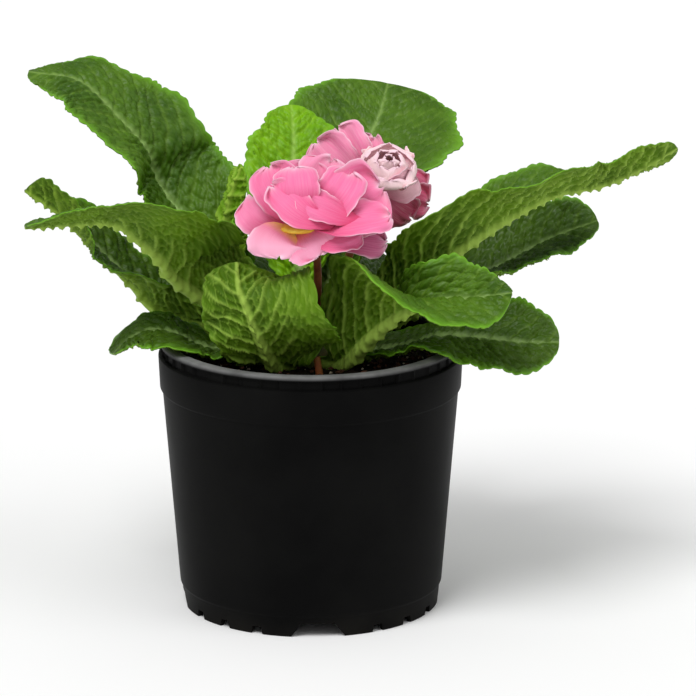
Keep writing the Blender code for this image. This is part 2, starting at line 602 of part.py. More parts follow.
def build_stalks():
    stalks = [("bloom_front_stalk", FRONT_STALK, FRONT_STALK_RADII, "stalk_red"),
              ("bloom_back_stalk", BACK_STALK, BACK_STALK_RADII, "stalk_red"),
              ("spent_bud", BUD_LINE, BUD_RADII, "bud_brown")]
    for name, line, radii, colour in stalks:
        made = tube_object(name, line, radii, colour)
        combine(made, [crown_body("crown_clearance", CROWN_GAP)], "DIFFERENCE")
        keep_largest(made)
    tube_object("stalk_stub", STUB_LINE, STUB_RADII, "stalk_red")


def move_to_bottom_centre():
    """Shift every piece so that the bottom centre of the whole is the origin."""
    corners = [vertex.co for thing in bpy.data.objects for vertex in thing.data.vertices]
    low = [min(corner[axis] for corner in corners) for axis in range(3)]
    high = [max(corner[axis] for corner in corners) for axis in range(3)]
    shift = ((low[0] + high[0]) / 2, (low[1] + high[1]) / 2, low[2])
    for thing in bpy.data.objects:
        for vertex in thing.data.vertices:
            for axis in range(3):
                vertex.co[axis] -= shift[axis]


clear_scene()
build_pot()
build_soil()
crown_body("crown", 0.0, "crown_green")
for leaf_name, leaf_shape in LEAVES.items():
    build_leaf(leaf_name, leaf_shape)
build_blooms()
build_stalks()
move_to_bottom_centre()
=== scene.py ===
"""Looks of the potted primrose, built round its CAD frame, in millimetres until a mesh is made."""
import math

import bmesh
import bpy
import numpy as np
from mathutils import Matrix, Vector


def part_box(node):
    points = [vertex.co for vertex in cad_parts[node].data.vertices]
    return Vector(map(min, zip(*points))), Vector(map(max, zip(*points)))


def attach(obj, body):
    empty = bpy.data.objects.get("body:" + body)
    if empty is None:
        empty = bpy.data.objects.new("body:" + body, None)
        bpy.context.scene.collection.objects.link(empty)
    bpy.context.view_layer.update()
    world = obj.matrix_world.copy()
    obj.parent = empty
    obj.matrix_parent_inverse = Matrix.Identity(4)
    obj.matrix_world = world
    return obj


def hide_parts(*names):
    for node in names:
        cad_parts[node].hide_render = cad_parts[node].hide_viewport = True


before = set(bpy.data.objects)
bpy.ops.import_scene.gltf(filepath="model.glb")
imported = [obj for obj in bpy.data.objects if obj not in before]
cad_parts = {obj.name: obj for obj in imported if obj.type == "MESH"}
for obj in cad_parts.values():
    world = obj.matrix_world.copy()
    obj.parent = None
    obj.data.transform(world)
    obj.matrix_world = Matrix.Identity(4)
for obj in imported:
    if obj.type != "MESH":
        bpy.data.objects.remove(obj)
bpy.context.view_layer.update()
MM = 0.001
POT_LOW, POT_HIGH = (np.array(corner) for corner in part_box("pot"))
# The pot's axis at the ground. Every place below is measured from it.
AXIS = np.array([(POT_LOW[0] + POT_HIGH[0]) / 2, (POT_LOW[1] + POT_HIGH[1]) / 2, POT_LOW[2]])

# Camera: a long lens from 1.8 m, a little above. The pot's axis meets the ground at a pixel of the photo.
IMAGE_SIDE = 696.0
CAMERA_DISTANCE = 1800.0
CAMERA_ELEVATION = 15.236
PIXELS_PER_MM = 2.864
GROUND_PIXEL = (311.03, 597.24)
SENSOR = 36.0
FARTHEST_SEEN = 20.0

# Studio: a pale floor, an even sky and soft suns as (name, direction, strength, width in degrees).
FLOOR_SIDE = 12.0
FLOOR_TONE = (0.95, 0.95, 0.95, 1)
FLOOR_ROUGHNESS = 0.9
SKY_TONE = (1, 1, 1, 1)
SKY_STRENGTH = 0.5
SUNS = [("key", (-0.35, -0.55, 1), 1.9, 30), ("side", (0.9, -0.5, 0.8), 0.5, 40)]

# Pot outline from the foot up the outside, over the lip and down the inside, as (radius, height).
POT_OUTSIDE = [(44, 0), (44.3, 0.25), (44.8, 6.8), (45, 7.15), (45.4, 7.75), (45.5, 8.1), (51.05, 76.3),
               (51.2, 76.7), (51.75, 77.15), (51.95, 77.6), (52.45, 88.3), (52.35, 88.75), (51.9, 89.1)]
POT_LEDGE = [(51.5, 89.25), (51.5, 92.1)]
POT_LIP = [(51.75, 92.35), (51.95, 92.8), (51.85, 93.4), (51.4, 93.85), (50.6, 94), (48.5, 94),
           (47.8, 93.8), (47.4, 93.2)]
POT_INSIDE = [(47.3, 88), (44, 8), (42.8, 6.2), (30, 6)]
POT_SIDES = 384
FOOT_INSIDE = 42.4
FOOT_SIDES = 128
POT_FLOOR_UNDER = 4.6
BELOW_GROUND = -1.0

# The ledge under the lip is cut in blocks that step in by different amounts, with a gap between them.
LEDGE_BLOCKS = 46
LEDGE_BLOCK_STEP = 1.1
LEDGE_LEAST_SHARE = 0.35
LEDGE_GAP_SHARE = 0.12

# Foot notches as (width at the ground, width at the top, height), with their turns in degrees.
NOTCH_TURN = 3.6
WIDE_NOTCH = (20, 11.5, 4.9)
SMALL_NOTCH = (4.8, 3, 2.7)
SMALL_NOTCH_TURNS = [-28, 28, 45]
NOTCH_REACH = (38, 60)
QUARTERS = 4
DRAIN_RADIUS = 4.0
DRAIN_RING = 32.0
DRAIN_SIDES = 32
DRAIN_HEIGHTS = (2, 9)

# Soil, with clods as (size, height, seed).
SOIL_TOP = 86.0
SOIL_RADIUS = 46.9
SOIL_SINK = 0.6
SOIL_DEPTH = 6.0
SOIL_SIDES = 260
SOIL_RINGS = 90
CLODS = [(6, 1.5, 1), (2.6, 1.1, 2), (1.3, 0.6, 3)]
CLOD_MIDDLE = 0.35

# Loose bits on the soil, as (count, seed, size). They keep clear of the crown.
BARK_BITS = (260, 5, (1.1, 0.7, 0.5))
PALE_GRAINS = (70, 6, (0.5, 0.35, 0.3))
BIT_REACH = 44.5
CROWN_CLEAR = 12.0
BIT_SPREAD = 30
BIT_TURN = 6.3
BIT_TILT = 1.2

# A lump's corners and faces are those of an icosahedron, near enough 1 across.
ONE = 1 / 1.9
GOLD = (1 + 5 ** 0.5) / 2 / 1.9
LUMP_POINTS = [(-ONE, GOLD, 0), (ONE, GOLD, 0), (-ONE, -GOLD, 0), (ONE, -GOLD, 0),
               (0, -ONE, GOLD), (0, ONE, GOLD), (0, -ONE, -GOLD), (0, ONE, -GOLD),
               (GOLD, 0, -ONE), (GOLD, 0, ONE), (-GOLD, 0, -ONE), (-GOLD, 0, ONE)]
LUMP_FACES = [(0, 11, 5), (0, 5, 1), (0, 1, 7), (0, 7, 10), (0, 10, 11), (1, 5, 9), (5, 11, 4),
              (11, 10, 2), (10, 7, 6), (7, 1, 8), (3, 9, 4), (3, 4, 2), (3, 2, 6), (3, 6, 8),
              (3, 8, 9), (4, 9, 5), (2, 4, 11), (6, 2, 10), (8, 6, 7), (9, 8, 1)]

# Leaf blade: thickness, mesh step, veins, the net of pads between them, teeth, lobes, waves and the rib.
LEAF_THICK = 0.8
EDGE_THICK = 0.45
LEAF_STEP = 0.6
ROW_CROWDING = 1.12
LAST_ROW = 0.9985
VEIN_SPACING = 6.8
VEIN_DEPTH = 0.9
VEIN_WIDTH = 0.75
VEIN_LEAN = 0.85
VEIN_CURVE = 0.010
VEIN_RAISED = 0.30
NET_CELL = 2.6
NET_DEPTH = 1.0
NET_SINK = 0.6
NET_WIDTH = 0.17
NET_SHOWN = 0.55
FINE_CELL = 1.25
FINE_DEPTH = 0.05
TOOTH_PITCH = 3.1
TOOTH_DEEP = 1.0
# How the teeth drift, and two sizes of lobe, each as (height, length).
TOOTH_DRIFT = (0.8, 5.3)
SMALL_LOBE = (0.8, 2.3)
LARGE_LOBE = (0.9, 4.9)
TEETH_FROM = 0.3
LEAST_HALF = 0.25
CURL_DEGREES = [5, 5, 0]
SMALL_ANGLE = 0.001
WAVE_TALL = 1.0
WAVE_COUNT = 3.5
FINE_WAVE_TALL = 0.45
FINE_WAVES_PER_WAVE = 2.7
RIGHT_WAVE_SHIFT = 2.1
# The rib, as (what it loses along the leaf, what is left at the tip).
RIB_WIDTH = (2.6, 0.5)
RIB_DEPTH = (2.1, 0.35)
RIB_GROOVE = 0.45

# Petal blade: thickness, mesh counts, shares of the width, and the frill of its margin.
PETAL_THICK = 0.5
PETAL_THIN_EDGE = 0.6
PETAL_CUP_EASE = 0.5
PETAL_ROWS = 44
PETAL_COLUMNS = 30
PETAL_ROW_CROWDING = 1.3
PETAL_EDGE_CROWDING = 0.92
PETAL_WIDEST = 0.62
CLAW_SHARE = 0.22
TIP_LOSS = 0.97
# The notch at the tip as (depth, place across, width), and the scallops as (depth, count).
TIP_NOTCH = (1.1, 0.12, 0.16)
SCALLOP = (0.8, 4.6)
FRILL_MOST = 1.2
STREAK_TALL = 0.06


def leaf(spine, aim, roll, fold_left, fold_right, left, right,
         widest=0.62, taper=0.9, stalk=0.13, blunt=2.3, wave=0):
    """One leaf. Its rib runs through the spine points and `aim` is its plan direction in degrees.
    Roll lifts the left half, folds lift each half to the upper face, left and right are half widths."""
    return {"spine": spine, "aim": aim, "roll": roll, "fold_left": fold_left, "fold_right": fold_right,
            "left": left, "right": right, "widest": widest, "taper": taper, "stalk": stalk, "blunt": blunt,
            "wave": wave}


# Leaves are as in the CAD source, apart from the far half of leaf_02, which is folded more.
LEAVES = {
    "leaf_01": leaf(
        [(-6, 3, 90.5), (-49, 30, 135), (-57, 30, 153), (-66, 30, 164), (-80, 33, 177),
         (-98, 34, 180)],
        160, [-58, -40, -25, -22], [13, 36, -15], [20, 17, -25], 20, 25, 0.50, 1.45, wave=0.5),
    "leaf_02": leaf(
        [(-7, -4, 90), (-43, -5, 113), (-51, -10, 124), (-58, -14, 132), (-67, -17, 139),
         (-82, -22, 140), (-96, -28, 140)],
        195, [25, 70, 14, 7], [15, 20, 14], [20, 72, 18, 16], 29, 10, 0.52, 0.50, wave=1),
    "leaf_03": leaf(
        [(-9, 3, 87), (-49, 13, 98), (-62, 14, 110), (-76, 15, 124), (-87, 11, 136),
         (-98, 9, 144)],
        175, [5, 5, 10, 0, 20], [50, 70, 66, 5, 20, 70], [40, 60, 58, 34, 20, 0],
        15, 14, 0.55, 1.05, blunt=3.4, wave=2),
    "leaf_04": leaf(
        [(-9, -5, 87), (-36, -9, 93), (-46, -13, 99), (-55, -13, 100), (-62, -14, 97),
         (-67, -18, 93)],
        195, [0, -2, -12, 8], [5, 2, -2], [6, 4, -4], 15, 14, 0.62, 0.95, wave=2),
    "leaf_05": leaf(
        [(-6, -10, 88), (-12, -17, 89), (-17, -27, 101), (-21, -31, 112), (-24, -30, 119),
         (-25, -25, 127)],
        255, [-12, 15, -8, 12], [22, -10, 40], [30, -20, -5], 28, 15, 0.50, 0.50,
        stalk=0.3, blunt=4, wave=3),
    "leaf_06": leaf(
        [(5, -8, 87), (12, -13, 88), (21, -20, 99), (31, -26, 109), (44, -32, 116),
         (56, -37, 118), (68, -40, 120)],
        335, [-48, -72, 0, 17], [86, 84, 19], [-5, 18, -14], 15, 30, 0.50, 0.50, wave=0.3),
    "leaf_07": leaf(
        [(6, 0, 88), (31, 1, 110), (50, -10, 127), (67, -7, 138), (83, -5, 146), (100, -2, 149),
         (113, -3, 155), (125, -3, 162)],
        357, [-52, -53, -28, -44], [26, 58, 9], [46, 3, 5], 23, 23, 0.49, 1,
        blunt=1.6, wave=1.3),
    "leaf_08": leaf(
        [(8, 4, 87), (52, 20, 107), (64, 25, 112), (83, 28, 122), (100, 30, 128)],
        20, [25, 4, 17, 42], [5, 6, 15], [5, 26, 14], 19, 15, 0.64, 0.9, wave=0.9),
    "leaf_09": leaf(
        [(9, -4, 88), (31, -8, 93), (44, -13, 98), (58, -15, 98), (72, -17, 97), (85, -18, 97)],
        346, [17, 10, 29, 46], [4, 0, 3], [10, 10, 0], 19, 17, 0.62, 0.6, wave=2.5),
    "leaf_10": leaf(
        [(-2, 6, 91), (-5, 18, 132), (-6, 24, 146), (-6, 32, 158), (-7, 40, 167)],
        95, [0, 0, 0, 6], [5, 7, 1], [5, 7, 0], 17, 17, 0.64, 0.9, wave=1.5),
    "leaf_11": leaf(
        [(4, 7, 89), (12, 25, 131), (17, 36, 147), (21, 47, 155), (24, 56, 160), (27, 70, 168)],
        70, [2, -20, 9, 12], [5, 10, 7], [5, 17, 0], 33, 33, 0.67, 0.9, wave=0.1),
    "leaf_12": leaf(
        [(-6, -2, 91), (-24, 3, 110), (-28, 7, 127), (-27, 5, 141), (-23, 1, 154)],
        205, [0, 1, 7, 0], [5, 12, 11], [5, 10, 11], 8, 10, 0.62, 2.5, wave=0.4),
    "leaf_13": leaf(
        [(6, 9, 87), (15, 28, 96), (25, 49, 103), (33, 66, 103), (38, 79, 98)],
        63, [0, 0, 0, 0], [12, 12, 8], [12, 12, 8], 16, 15, 0.62, 0.8, wave=0.7),
    "leaf_14": leaf(
        [(-1, 10, 87), (-5, 29, 97), (-11, 50, 106), (-16, 69, 107), (-20, 85, 102)],
        102, [0, 0, 0, 0], [12, 12, 8], [12, 12, 8], 16, 17, 0.62, 0.8, wave=1.9),
    "leaf_15": leaf(
        [(-8, 7, 87), (-22, 20, 95), (-36, 34, 100), (-47, 45, 99), (-56, 54, 94)],
        140, [0, 0, 0, 0], [12, 12, 8], [12, 12, 8], 16, 14, 0.62, 0.8, wave=2.9),
}


def petal(spine, half, face, cup, ruffle):
    """One petal along a middle line. It faces along `face`, and cup is its bend across in degrees."""
    return {"spine": spine, "half": half, "face": face, "cup": cup, "ruffle": ruffle}


# Petals are as in the CAD source, apart from the first, second, fourth and fifth of the front bloom.
FRONT_PETALS = [
    petal([(-6.5, -30, 140.5), (-10, -36.5, 137.5), (-10.5, -37.5, 131)], 10.5, (0, -1, 0.35), -20, 0.8),
    petal([(-3.5, -30.5, 140), (0.5, -36, 136.5), (3.5, -36.8, 131.5)], 9, (0.1, -1, 0.3), -15, 0.8),
    petal([(-1, -31, 138.5), (8.5, -35.5, 137), (18, -34, 140)], 5, (0.1, -0.8, 0.6), 15, 0.9),
    petal([(-0.5, -28, 138.5), (12, -29, 137.5), (26.5, -27, 134.5)], 7, (0.2, -0.8, 0.9), -25, 1.4),
    petal([(-4.5, -27, 139), (-14, -28.5, 145.5), (-20, -24.5, 151.5)], 10.5, (-0.2, -1, 0.3), 20, 1.3),
    petal([(8.5, -35.5, 142), (-2.5, -38.5, 147.5), (-13.5, -35.5, 157)], 6.5, (0.3, -1, 0.4), 25, 1.2),
    petal([(-2.5, -32, 143), (-4, -36.5, 154), (-5, -34, 162.5)], 8, (0, -1, 0.1), -35, 0.5),
    petal([(-1, -26, 140), (4, -28, 153.5), (8, -22, 163)], 10, (0, -1, 0.2), 22, 1.3),
    petal([(0, -29, 140), (13.5, -31, 148.5), (25, -27, 154)], 13, (0.1, -1, 0.2), 18, 1.3),
    petal([(1, -31, 139.5), (13.5, -37, 143.5), (27.5, -34, 145.5)], 7.5, (0.1, -0.6, 1), 35, 1.8),
    petal([(18.5, -35.5, 143.5), (6.5, -37, 148), (-5, -34.5, 153)], 5.5, (0.3, -1, 0.5), 20, 1.2),
    petal([(-3, -28, 139.5), (-10, -30, 152), (-14, -25, 161)], 8.5, (-0.1, -1, 0.2), 25, 1),
    petal([(-0.5, -30, 140), (9, -33, 152), (14.5, -29, 160)], 8, (-0.3, -1, 0.2), 35, 1.2),
    petal([(-2, -27, 140), (-2, -30, 153.5), (-1, -24, 162.5)], 9, (0.1, -1, 0.2), -15, 0.9),
]

BACK_PETALS = [
    petal([(21, -5, 147.5), (10, -4, 156), (1.5, 0, 163.5)], 8.5, (0, -1, 0.2), 20, 1),
    petal([(22, -4, 148), (14.5, -2, 159), (9, 4, 167.5)], 8, (0, -1, 0.1), 22, 1),
    petal([(23, -3, 147.5), (20.5, 2, 159.5), (22, 5, 164.5)], 6, (0, -1, 0.1), 22, 1),
    petal([(23.5, -9, 147), (30, -13, 149.5), (35.5, -10, 154)], 6.5, (0.3, -1, -0.3), 40, 0.5),
    petal([(24, -4, 146.5), (32.5, -5, 145), (41, -2, 141.5)], 6.5, (0.2, -1, 0.3), -15, 1.3),
    petal([(24, -5, 146), (29, -7, 142), (35, -5, 137)], 7, (0.2, -1, -0.3), -15, 1.2),
    petal([(24, -2, 146.5), (32.5, -1, 148.5), (40, 2, 145.5)], 6, (0.2, -1, 0.3), 10, 1.2),
]

# The rosette in the middle of the bloom behind: rings of cupped petals round an axis that leans to the front.
# A ring is (petals, radius at belly, radius at mouth, half width, turn in petals, height of the mouth).
ROSETTE_CENTRE = (26.3, -9, 155.5)
ROSETTE_AXIS = (0.10, -0.55, 0.83)
ROSETTE_ROOT = 6.0
ROSETTE_RINGS = [(4, 9.3, 8.6, 9.6, 0.1, 4), (4, 6.2, 4.6, 6.6, 0.6, 5.5), (3, 3.2, 1.4, 4, 0.3, 6)]
ROSETTE_WIDENING = 0.3
ROSETTE_CUP = 62
ROSETTE_RUFFLE = 0.4

# How pale each petal is, from 0 on the mauve outer ones to 1 on the lip and in the pale rosette.
FRONT_PALE = [1, 0.85, 0.5, 0.05, 0.6, 0.4, 0.45, 0.7, 0.45, 0.4, 0.35, 0.4, 0.45, 0.35]
BACK_PALE = [0.35, 0.4, 0.4, 0.8, 0, 0, 0.1]
ROSETTE_PALE = 1.0

# Stalks, bud and stub run along these lines, as in the CAD source.
FRONT_STALK = [(0.5, -3, 92), (2.5, -9, 112), (2, -17, 130), (-0.5, -22, 137),
               (-2, -24.5, 140)]
FRONT_STALK_RADII = [1.5, 1.4, 1.5, 3.6, 3]
BACK_STALK = [(3, -1, 92), (11, -7, 118), (16, -7, 132), (22, -5.5, 142.5),
              (24, -5, 148)]
BACK_STALK_RADII = [1.5, 1.5, 1.5, 3.4, 3]
BUD_LINE = [(-0.5, -7.5, 90.5), (-2.2, -13.5, 91.5), (-2.8, -17.5, 94), (-1.6, -18.5, 100),
            (0.2, -18, 105), (1.2, -17.5, 109)]
BUD_RADII = [1.1, 1.1, 1.6, 3, 2, 0.6]
STUB_LINE = [(3.6, -20.2, 79), (3.2, -20.2, 86), (2.2, -20, 92.5)]
STUB_RADII = [1.2, 1.3, 1.1]
TUBE_SIDES = 24
TUBE_STEPS = 14
TUBE_LEAST = 0.4
# Ridges as (height, count, twist a ring).
TUBE_RIDGES = (0.05, 5, 0.15)
# Round pieces as (piece, line, radii, skin, slot, node replaced).
TUBES = [("piece_front_stalk", FRONT_STALK, FRONT_STALK_RADII, "stalk", "stalk", "bloom_front_stalk"),
         ("piece_back_stalk", BACK_STALK, BACK_STALK_RADII, "stalk", "stalk", "bloom_back_stalk"),
         ("piece_stub", STUB_LINE, STUB_RADII, "stub", "stalk", "stalk_stub"),
         ("piece_bud", BUD_LINE, BUD_RADII, "bud", "bud", "spent_bud")]

EYE = (-4, -32, 140.3)
EYE_SIZE = (6.2, 3.4, 1.6)
EYE_RINGS = 40
EYE_SIDES = 72
EYE_TIP_ANGLE = 0.02
# Grains as (count round, count along, seed), and the swell as (least, what a grain adds).
EYE_GRAINS = (4, 4.5, 4)
EYE_SWELL = (0.93, 0.07)

# Crown outline as (radius, height), with its ridges as (height, count, twist).
CROWN = [(2, 60), (6, 68), (9, 78), (10.5, 84), (10.8, 88), (9.4, 91.5), (6.6, 94.2),
         (3, 95.4)]
CROWN_RIDGES = [(0.35, 9, 0.25), (0.2, 23, -0.9)]
CROWN_SINK = 0.35
CROWN_ROWS = 60
CROWN_SIDES = 144

# Leaf skins: dark green, light green and vein of the upper face, then the same three of the underside.
LEAF_SKINS = {
    "leaf": [(0.032, 0.090, 0.003), (0.078, 0.175, 0.008), (0.15, 0.27, 0.03),
             (0.058, 0.135, 0.001), (0.105, 0.220, 0.002), (0.32, 0.48, 0.07)],
    # A darker copy of the leaf skin for the low leaves: painted shade where they lie under the others.
    "shaded_low_leaf": [(0.020, 0.056, 0.002), (0.048, 0.105, 0.004), (0.10, 0.18, 0.02),
                 (0.045, 0.105, 0.001), (0.085, 0.180, 0.002), (0.25, 0.40, 0.04)],
    "young_leaf": [(0.11, 0.30, 0.001), (0.20, 0.45, 0.003), (0.28, 0.52, 0.02),
                   (0.12, 0.29, 0.003), (0.20, 0.40, 0.01), (0.34, 0.53, 0.06)],
}
YOUNG_LEAVES = ["leaf_10", "leaf_12"]
# The low leaves that take the darker copy of the skin, as painted shade.
SHADED_LOW_LEAVES = ["leaf_03", "leaf_04", "leaf_08", "leaf_09", "leaf_13", "leaf_14", "leaf_15"]
NOISE_ROUGHNESS = 0.55
LEAF_PATCHES = 55.0
LEAF_SPECKS = 420.0
LEAF_GRAIN = 900.0
PALE_RIB = (0.40, 0.58, 0.20)
# Painted glow of light through the thin leaf margin.
PAINTED_EDGE_GLOW = (0.17, 0.44, 0.02)

# Petal skins: mauve, middle pink, deep claw, pale and back.
PETAL_SKINS = {
    "petal": [(0.50, 0.09, 0.22), (0.87, 0.17, 0.37), (0.72, 0.03, 0.15), (0.93, 0.42, 0.58),
              (0.55, 0.12, 0.28)],
    "petal_pale": [(0.72, 0.07, 0.20), (0.86, 0.22, 0.42), (0.74, 0.16, 0.32), (0.98, 0.72, 0.74),
                   (0.62, 0.12, 0.26)],
}
PETAL_STREAKS = (22, 2.5)
STREAK_SHIFT = 90.0
PETAL_RIM = (0.95, 0.66, 0.77)
THROAT_YELLOW = (0.90, 0.62, 0.12)

# Pot skin: two near blacks, a painted highlight in grey on the lip between two heights, and dust near the
# foot.
POT_BLACKS = [(0.0035, 0.0035, 0.0035), (0.0060, 0.0060, 0.0058)]
LIP_HIGHLIGHT_GREY = (0.20, 0.20, 0.20)
LIP_HIGHLIGHT_HEIGHTS = (92.6, 93.8)
DUST = (0.02, 0.018, 0.015)
DUST_TOP = 9.0
POT_CLOUDS = 30.0
POT_STREAKS = 120.0
POT_GRAIN = 2600.0

# Other skins: dark tone, light tone, roughness, mottling scale, grain scale, specular level, grain depth.
PLAIN_SKINS = {
    "soil": ((0.004, 0.003, 0.002), (0.022, 0.012, 0.007), 0.95, 260, 1400, 0.15, 0.0008),
    "bark": ((0.03, 0.015, 0.009), (0.14, 0.055, 0.03), 0.9, 300, 1500, 0.2, 0.0003),
    "grain": ((0.35, 0.28, 0.20), (0.70, 0.62, 0.50), 0.8, 300, 1500, 0.3, 0.0002),
    "stalk": ((0.13, 0.022, 0.010), (0.24, 0.08, 0.02), 0.5, 220, 900, 0.4, 0.0003),
    "bud": ((0.11, 0.025, 0.010), (0.30, 0.20, 0.03), 0.55, 160, 900, 0.4, 0.0003),
    "stub": ((0.30, 0.07, 0.02), (0.45, 0.16, 0.04), 0.55, 160, 900, 0.4, 0.0003),
    "crown": ((0.05, 0.08, 0.015), (0.16, 0.13, 0.04), 0.7, 160, 700, 0.4, 0.0003),
    "eye": ((0.82, 0.45, 0.03), (0.93, 0.68, 0.08), 0.55, 400, 1500, 0.4, 0.0003),
}


def unit(values):
    """Values held between 0 and 1."""
    return np.clip(values, 0, 1)


def smooth_line(values, places):
    """Values at places from 0 to 1 on a smooth line through evenly spaced values."""
    known = np.asarray(values, float)
    flat = known.ndim == 1
    if flat:
        known = known[:, None]
    known = np.concatenate([[2 * known[0] - known[1]], known, [2 * known[-1] - known[-2]]])
    spans = len(known) - 3
    place = unit(places) * spans
    first = np.minimum(place.astype(int), spans - 1)
    part = (place - first)[:, None]
    a, b, c, d = known[first], known[first + 1], known[first + 2], known[first + 3]
    line = 0.5 * (2 * b + (c - a) * part + (2 * a - 5 * b + 4 * c - d) * part ** 2
                  + (3 * b - a - 3 * c + d) * part ** 3)
    return line[:, 0] if flat else line


def even_spine(points, steps=200):
    """Evenly spaced places along a smooth line through the points, the direction at each and the length."""
    raw = smooth_line(points, np.linspace(0, 1, 2 * steps))
    run = np.concatenate([[0], np.cumsum(np.linalg.norm(np.diff(raw, axis=0), axis=1))])
    places = np.linspace(0, 1, steps + 1)
    line = np.stack([np.interp(places * run[-1], run, raw[:, axis]) for axis in range(3)], -1)
    ahead = np.gradient(line, axis=0)
    ahead /= np.linalg.norm(ahead, axis=1)[:, None]
    return places, line, ahead, run[-1]


def at_rows(rows, places, values):
    return np.stack([np.interp(rows, places, values[:, axis]) for axis in range(3)], -1)


def leaf_width(shape, rows):
    """Share of the full half width at each row: a narrow winged stalk, a broad blade and a round tip."""
    widest = shape["widest"]
    rise = unit((rows - 0.02) / (widest - 0.02))
    rise = (rise * rise * (3 - 2 * rise)) ** shape["taper"]
    rise = shape["stalk"] + (1 - shape["stalk"]) * rise
    fall = unit((rows - widest) / (1 - widest))
    fall = (1 - fall ** shape["blunt"]) ** 0.5
    return np.where(rows < widest, rise, fall)


def edge_teeth(rows, length, phase):
    """Rounded teeth and uneven lobes along a leaf's edge, as a change of width in millimetres."""
    along = rows * length
    bend = TOOTH_DRIFT[0] * np.sin(along / TOOTH_DRIFT[1] + 3 * phase)
    tooth = TOOTH_DEEP * (np.abs(np.sin(math.pi * along / TOOTH_PITCH + bend)) ** 0.7 - 0.6)
    lobe = SMALL_LOBE[0] * np.sin(along / SMALL_LOBE[1] + 2 * phase + bend)
    lobe += LARGE_LOBE[0] * np.sin(along / LARGE_LOBE[1] + 5 * phase)
    fade = unit(rows / TEETH_FROM) ** 1.5
    return (tooth + lobe) * fade


def leaf_sheet(shape, rows, columns):
    """Middle surface of a leaf as a grid of points, with the half width at each point's row and side."""
    places, line, ahead, length = even_spine(shape["spine"])
    turn = math.radians(shape["aim"] + 90.0)
    across = np.array([math.cos(turn), math.sin(turn), 0.0])
    side = across - (ahead @ across)[:, None] * ahead
    side /= np.linalg.norm(side, axis=1)[:, None]
    upper = np.cross(ahead, side)
    roll = np.radians(smooth_line(shape["roll"], places))[:, None]
    rolled = np.cos(roll) * side + np.sin(roll) * upper
    facing = np.cos(roll) * upper - np.sin(roll) * side
    line, rolled, facing = (at_rows(rows, places, values) for values in (line, rolled, facing))
    width = leaf_width(shape, rows)
    swell = np.sin(np.pi * rows) ** 0.5
    grid = np.zeros((len(rows), len(columns), 3))
    reach_mm = np.zeros((len(rows), len(columns)))
    for index, column in enumerate(columns):
        out = abs(column)
        which = "left" if column >= 0 else "right"
        sign = 1.0 if column >= 0 else -1.0
        fold = np.radians(smooth_line(shape["fold_" + which], rows))
        curl = np.maximum(np.radians(smooth_line(CURL_DEGREES, rows)), SMALL_ANGLE)
        slope = fold + curl * out
        phase = shape["wave"] + (0.0 if column >= 0 else RIGHT_WAVE_SHIFT)
        half = width * shape[which] + edge_teeth(rows, length, phase) * out ** 5 * np.minimum(width * 3, 1)
        half = np.maximum(half, LEAST_HALF)
        reach = (np.sin(slope) - np.sin(fold)) / curl * half
        lift = (np.cos(fold) - np.cos(slope)) / curl * half
        wave = WAVE_TALL * out ** 1.6 * swell * np.sin(2 * np.pi * WAVE_COUNT * rows + phase)
        ripple = np.sin(2 * np.pi * FINE_WAVES_PER_WAVE * WAVE_COUNT * rows + 3 * phase)
        wave += FINE_WAVE_TALL * out ** 3 * swell * ripple
        reach = reach - wave * np.sin(slope)
        lift = lift + wave * np.cos(slope)
        grid[:, index] = line + rolled * (sign * reach)[:, None] + facing * lift[:, None]
        reach_mm[:, index] = column * half
    return grid, reach_mm, length


def scatter(cells, seed):
    """A number from 0 to 1 for each whole-number cell, the same each run."""
    mixed = np.sin(cells[..., 0] * 127.1 + cells[..., 1] * 311.7 + seed * 74.7) * 43758.5453
    return mixed - np.floor(mixed)


def cell_net(x, y, seed):
    """Distances to the nearest and second nearest of scattered points, one a cell: alike on the net."""
    place = np.stack([x, y], -1)
    base = np.floor(place)
    near = np.full(x.shape, 9.0)
    second = np.full(x.shape, 9.0)
    for step_x in (-1, 0, 1):
        for step_y in (-1, 0, 1):
            cell = base + [step_x, step_y]
            shift_x = 0.15 + 0.7 * scatter(cell, seed)
            shift_y = 0.15 + 0.7 * scatter(cell, seed + 3.0)
            point = cell + np.stack([shift_x, shift_y], -1)
            far = np.linalg.norm(place - point, axis=-1)
            second = np.minimum(second, np.maximum(near, far))
            near = np.minimum(near, far)
    return near, second


def leaf_relief(along, across, half, seed):
    """Height of the blade in millimetres, and how strongly a vein shows there, from 0 to 1."""
    out = np.abs(across)
    side = np.where(across >= 0, 0.0, 0.5)
    order = (along - VEIN_LEAN * out - VEIN_CURVE * out ** 2) / VEIN_SPACING + side
    bend = 0.10 * np.sin(order * 2.3 + seed) + 0.06 * np.sin(out * 0.7 + seed * 2 + side * 7)
    order = order + bend * unit(out / 6)
    off_vein = np.abs(order - np.round(order)) * VEIN_SPACING
    reach = unit(1.15 - out / np.maximum(half, 0.5))
    lateral = np.exp(-(off_vein / VEIN_WIDTH) ** 2) * unit(reach * 3)
    near, second = cell_net(order * VEIN_SPACING / NET_CELL, across / NET_CELL * 0.95, seed)
    gap = second - near
    net = np.exp(-(gap / NET_WIDTH) ** 2)
    pad = unit(1 - near * 1.25)
    fade = unit(out / 2.0)
    height = -VEIN_DEPTH * lateral + fade * (NET_DEPTH * pad - NET_SINK * NET_DEPTH * net)
    fine_near = cell_net(along / FINE_CELL, across / FINE_CELL, seed + 9.0)[0]
    height += FINE_DEPTH * fade * unit(1 - fine_near * 1.2)
    vein = unit(np.maximum(lateral, NET_SHOWN * net * fade))
    return height, vein


